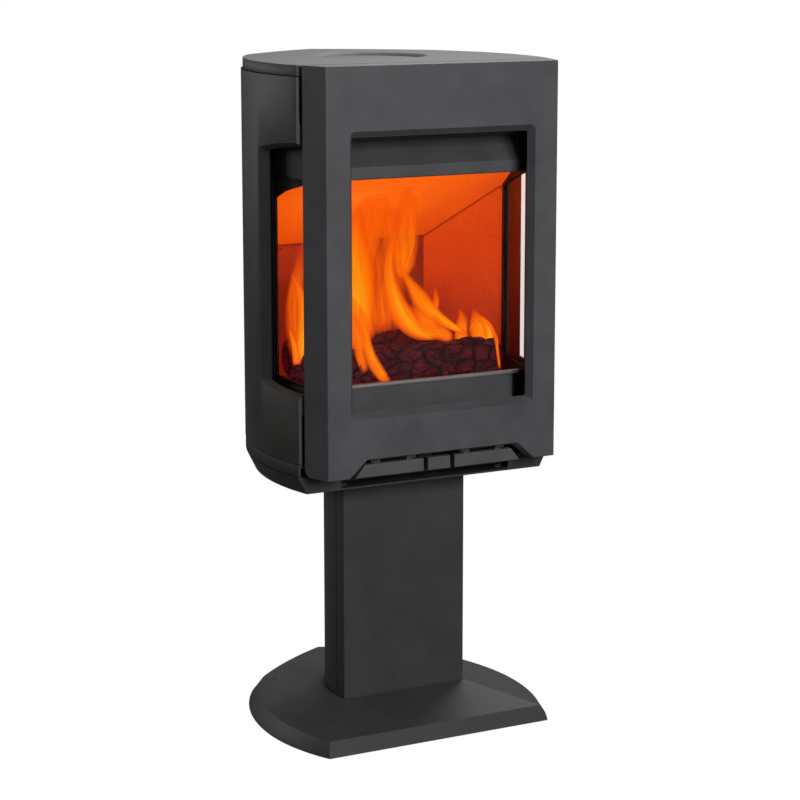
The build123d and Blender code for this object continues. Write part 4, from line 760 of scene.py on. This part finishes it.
# %% Draw the tongues
# depth (y), brightness, then the spine: x, height over the hearth and half width, millimetres
TONGUES = {
    "flames_left": [
        (
            -60,
            1.25,
            [
                (-169, 46, 9), (-163, 87, 13), (-159, 124, 13),
                (-161, 155, 10), (-170, 182, 6), (-184, 203, 1),
            ],
        ),
        (-66, 1.0, [(-175, 46, 8), (-180, 81, 6), (-185, 101, 4), (-189, 119, 1)]),
        (-20, 0.6, [(-151, 52, 18), (-154, 114, 22), (-152, 165, 20), (-146, 213, 13), (-140, 249, 2)]),
        (-50, 0.7, [(-112, 60, 20), (-118, 140, 28), (-110, 200, 26), (-98, 255, 15), (-90, 290, 2)]),
    ],
    "flames_middle": [
        (
            -92,
            1.25,
            [
                (-70, 60, 18), (-75, 127, 27), (-80, 178, 32),
                (-82, 229, 29), (-78, 275, 18), (-70, 318, 2),
            ],
        ),
        (
            -44,
            0.75,
            [
                (-40, 62, 30), (-46, 130, 40), (-44, 200, 42),
                (-34, 270, 38), (-20, 325, 26), (-8, 362, 4),
            ],
        ),
        (
            -10,
            0.55,
            [
                (20, 70, 34), (8, 140, 46), (6, 210, 46),
                (8, 270, 40), (4, 320, 26), (0, 352, 3),
            ],
        ),
        (
            -96,
            1.1,
            [
                (98, 80, 4), (40, 92, 17), (6, 122, 22), (-11, 162, 17),
                (-18, 200, 12), (-16, 234, 10), (-8, 267, 7), (0, 305, 1),
            ],
        ),
        (
            -70,
            0.7,
            [
                (14, 178, 8), (22, 210, 27), (31, 240, 33),
                (30, 276, 28), (27, 312, 20), (23, 350, 4),
            ],
        ),
    ],
    "flames_right": [
        (
            -112,
            1.15,
            [
                (125, 80, 4), (84, 104, 10), (51, 128, 15), (28, 153, 16),
                (11, 178, 10), (-3, 203, 5), (-9, 226, 1),
            ],
        ),
        (-104, 0.8, [(100, 74, 10), (64, 94, 17), (44, 112, 20), (32, 134, 15), (22, 158, 2)]),
        (-80, 0.75, [(76, 90, 8), (76, 126, 8), (78, 146, 6), (76, 168, 1)]),
        (-82, 0.9, [(128, 60, 15), (130, 87, 15), (127, 104, 11), (123, 124, 1)]),
        (-90, 1.1, [(159, 58, 24), (159, 86, 24), (153, 103, 17), (144, 122, 2)]),
        (-104, 1.25, [(169, 66, 11), (167, 87, 10), (159, 102, 6), (148, 114, 1)]),
        (-150, 0.8, [(166, 24, 4), (161, 57, 4), (157, 77, 5), (146, 98, 4), (133, 112, 1)]),
    ],
    "flames_front": [
        (
            -158,
            1.0,
            [
                (-52, 18, 8), (-78, 55, 12), (-88, 83, 11),
                (-96, 110, 12), (-108, 142, 12), (-126, 180, 2),
            ],
        ),
        (-150, 0.8, [(-90, 40, 8), (-98, 70, 12), (-104, 100, 12), (-112, 130, 8), (-122, 152, 1)]),
    ],
}
random.seed(3)
for name, tongues in TONGUES.items():
    fire = bmesh.new()
    layers = [fire.verts.layers.float.new(label) for label in ("along", "across", "bright", "seed")]
    for depth, brightness, points in tongues:
        lean, seed = random.uniform(-0.3, 0.3), random.uniform(0, 40)
        flame_tongue(fire, layers, depth, brightness, points, lean, seed)
    finish_piece(name, fire, flame, "stove")

# %% [markdown]
# ## Rope seal round the door
# The door closes on a rope of knitted glass fibre. Its strands twist as it goes round, which a
# plain ring cannot show, so a round section is carried round the frame and its skin is rippled
# by the twist. The machined ring stays as the thing that touches; this one is seen.

# %% Build the rope
seal_low, seal_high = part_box("door_gasket")
ROPE_HALF = (seal_high.y - seal_low.y) / 2
ROPE_WIDE = 4.0 * MM
ROPE_CORNER = 14 * MM
ROPE_STEP = 1.6 * MM
ROPE_SLACK = 0.88  # the ripple stands on this share of the ring's own half size
middle_y = (seal_low.y + seal_high.y) / 2


def rope_track():
    """Points and headings round the rounded rectangle that the rope follows."""
    x = seal_high.x - ROPE_WIDE
    low, high = seal_low.z + ROPE_WIDE, seal_high.z - ROPE_WIDE
    corners = [(x, low, -90), (x, high, 0), (-x, high, 90), (-x, low, 180)]
    track = []
    for cx, cz, begin in corners:
        sideways = math.copysign(ROPE_CORNER, cx)
        upwards = math.copysign(ROPE_CORNER, (low + high) / 2 - cz)
        inner = Vector((cx - sideways, cz + upwards))
        for step in range(9):
            angle = math.radians(begin + 90 * step / 8)
            track.append(inner + Vector((math.cos(angle), math.sin(angle))) * ROPE_CORNER)
    points = []
    for here, after in zip(track, track[1:] + track[:1]):
        count = max(1, round((after - here).length / ROPE_STEP))
        points += [here.lerp(after, k / count) for k in range(count)]
    return points


rope_points = rope_track()
rope = bmesh.new()
rings = []
for index, here in enumerate(rope_points):
    ahead = (rope_points[(index + 1) % len(rope_points)] - rope_points[index - 1]).normalized()
    side = Vector((ahead.y, -ahead.x))
    made = bmesh.ops.create_circle(rope, segments=14, radius=1.0)["verts"]
    for vert in made:
        angle = math.atan2(vert.co.y, vert.co.x)
        twist = 1.0 + 0.09 * math.cos(3 * angle + index * 0.55) + 0.05 * math.cos(5 * angle - index * 0.8)
        out = side * math.cos(angle) * ROPE_WIDE * ROPE_SLACK * twist
        depth = middle_y + math.sin(angle) * ROPE_HALF * ROPE_SLACK * twist
        vert.co = Vector((here.x + out.x, depth, here.y + out.y))
    rings.append([e for e in {e for v in made for e in v.link_edges}])
for ring, after in zip(rings, rings[1:] + rings[:1]):
    bmesh.ops.bridge_loops(rope, edges=ring + after)
seal = finish_piece("door_seal_rope", rope, finishes["rope_seal"], "door")
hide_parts("door_gasket")

# %% [markdown]
# ## Socket-head screws
# Small domed screws hold the back cover on and clamp the pane's frame. The head is turned, so it
# starts as rings bridged into a dome, and a six-sided recess goes into its middle.


# %% Recipe for a domed screw
def domed_screw(bm, seat, outward, radius):
    """A screw head on a seat point, its dome facing outward, with a hexagon recess."""
    levels = [
        (24, 1.0, 0.0),
        (24, 1.0, 0.28),
        (24, 0.93, 0.45),
        (24, 0.75, 0.6),
        (6, 0.45, 0.68),
        (6, 0.42, 0.2),
    ]
    loops = []
    for sides, wide, tall in levels:
        ring = bmesh.ops.create_circle(bm, segments=sides, radius=wide * radius)["verts"]
        for vert in ring:
            vert.co.z = tall * radius
        loops.append((ring, list({e for v in ring for e in v.link_edges})))
    for (_, lower), (_, upper) in zip(loops, loops[1:]):
        bmesh.ops.bridge_loops(bm, edges=lower + upper)
    for ring, _ in (loops[0], loops[-1]):
        bm.faces.new(ring)
    turn = Vector((0, 0, 1)).rotation_difference(Vector(outward)).to_matrix().to_4x4()
    place([v for ring, _ in loops for v in ring], Matrix.Translation(seat) @ turn)


# %% Screws on the back cover
back = nodes["back_screws"].data
centres = {}
for vert in back.vertices:
    key = (vert.co.x > 0, round(vert.co.z / 0.15))
    centres.setdefault(key, []).append(vert.co.copy())
screws = bmesh.new()
for (right, _), found in centres.items():
    reach = Vector((0.607 if right else -0.607, 0.794, 0.0))
    middle = sum(found, Vector()) / len(found)
    furthest = max((v - middle).dot(reach) for v in found)
    nearest = furthest - 2.6 * MM
    domed_screw(screws, middle + reach * nearest, reach, 5.0 * MM)
heads = finish_piece("back_cover_screws", screws, finishes["zinc_plated_steel"], "stove", smooth=False)
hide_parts("back_screws")

# %% Screws that clamp the pane's frame to the door
inner_low, inner_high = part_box("door_inner_frame")
sheet_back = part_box("door_gasket")[0].y
pane_screws = bmesh.new()
for side in (-1, 1):
    for share in (0.1, 0.36, 0.62, 0.88):
        height = inner_low.z + share * (inner_high.z - inner_low.z)
        seat = Vector((side * (inner_high.x - 10.5 * MM), sheet_back - 0.2 * MM, height))
        domed_screw(pane_screws, seat, (0, 1, 0), 2.6 * MM)
finish_piece("pane_frame_screws", pane_screws, finishes["zinc_plated_steel"], "door", smooth=False)

# %% [markdown]
# ## Floor, light and camera
# A heating stove is sold against white: a pale sweep, a big soft light in front and to the right,
# a weaker one on the left, and one overhead that lifts the top plate. The background stays
# white in the picture while it lights the stove only gently.

# %% White surroundings


def seen_directly(tree):
    """1 for what the camera sees, bare or through the panes, and 0 for reflections and light."""
    path = add_node(tree, "ShaderNodeLightPath")
    unreflected = maths(tree, "LESS_THAN", path.outputs["Glossy Depth"], 0.5)
    through_glass = maths(tree, "MULTIPLY", path.outputs["Is Transmission Ray"], unreflected)
    return maths(tree, "MAXIMUM", path.outputs["Is Camera Ray"], through_glass)


world = bpy.data.worlds.new("white_room")
bpy.context.scene.world = world
world.use_nodes = True
sky = world.node_tree
lit = add_node(sky, "ShaderNodeBackground", Color=(1, 1, 1, 1), Strength=0.11)
shown = add_node(sky, "ShaderNodeBackground", Color=(1, 1, 1, 1), Strength=1.0)
choose = add_node(sky, "ShaderNodeMixShader")
wire(sky, seen_directly(sky), choose.inputs[0])
wire(sky, lit.outputs[0], choose.inputs[1])
wire(sky, shown.outputs[0], choose.inputs[2])
wire(sky, choose.outputs[0], sky.nodes["World Output"].inputs["Surface"])

# %% Pale floor
floor_bm = bmesh.new()
bmesh.ops.create_grid(floor_bm, x_segments=2, y_segments=2, size=9.0)
floor_mesh = bpy.data.meshes.new("floor")
floor_bm.to_mesh(floor_mesh)
floor_bm.free()
floor = bpy.data.objects.new("floor", floor_mesh)
bpy.context.scene.collection.objects.link(floor)
floor_paper = bpy.data.materials.new("floor_paper")
floor_paper.use_nodes = True
paper_tree = floor_paper.node_tree
paper = paper_tree.nodes["Principled BSDF"]
paper.inputs["Base Color"].default_value = (0.1, 0.1, 0.1, 1)
paper.inputs["Roughness"].default_value = 0.9
overexposed = add_node(paper_tree, "ShaderNodeEmission", Strength=1.0)
either = add_node(paper_tree, "ShaderNodeMixShader")
wire(paper_tree, seen_directly(paper_tree), either.inputs[0])
wire(paper_tree, paper.outputs[0], either.inputs[1])
wire(paper_tree, overexposed.outputs[0], either.inputs[2])
wire(paper_tree, either.outputs[0], paper_tree.nodes["Material Output"].inputs["Surface"])
floor_mesh.materials.append(floor_paper)

# %% Soft lights
TARGET = Vector((0.0, 0.0, 0.6))
# place, size across and up, and power in watts
LIGHTS = {
    "front_softbox": ((0.2, -4.1, 2.0), (1.7, 1.4), 96.0),
    "left_fill": ((-2.2, 2.6, 1.55), (1.4, 1.4), 20.0),
    "overhead": ((1.1, 1.3, 2.9), (1.6, 1.6), 50.0),
}
for name, (spot, (wide, tall), watts) in LIGHTS.items():
    data = bpy.data.lights.new(name, "AREA")
    data.shape, data.size, data.size_y, data.energy = "RECTANGLE", wide, tall, watts
    lamp = bpy.data.objects.new(name, data)
    lamp.location = spot
    lamp.rotation_euler = (TARGET - Vector(spot)).to_track_quat("-Z", "Y").to_euler()
    bpy.context.scene.collection.objects.link(lamp)

# %% Firelight
ember_light = bpy.data.lights.new("firelight", "POINT")
ember_light.energy, ember_light.color = 0.6, (1.0, 0.36, 0.08)
ember_light.shadow_soft_size = 0.05
hearth_lamp = bpy.data.objects.new("firelight", ember_light)
hearth_lamp.location = FIRE_HEART
hearth_lamp.visible_camera = hearth_lamp.visible_transmission = hearth_lamp.visible_glossy = False
bpy.context.scene.collection.objects.link(hearth_lamp)

# %% Camera
CAMERA_SPOT = (-1.749, -3.523, 1.3434)
HEADING, DIP, ROLL = 0.48264, 0.1829, -0.0014
lens = bpy.data.cameras.new("camera")
lens.sensor_width = 36.0
lens.lens = 103.8
lens.shift_x, lens.shift_y = -0.03, -0.055
camera = bpy.data.objects.new("camera", lens)
camera.location = CAMERA_SPOT
camera.rotation_euler = Euler((math.pi / 2 - DIP, ROLL, -HEADING), "XYZ")
bpy.context.scene.collection.objects.link(camera)
bpy.context.scene.camera = camera
bpy.context.scene.view_settings.view_transform = "Standard"
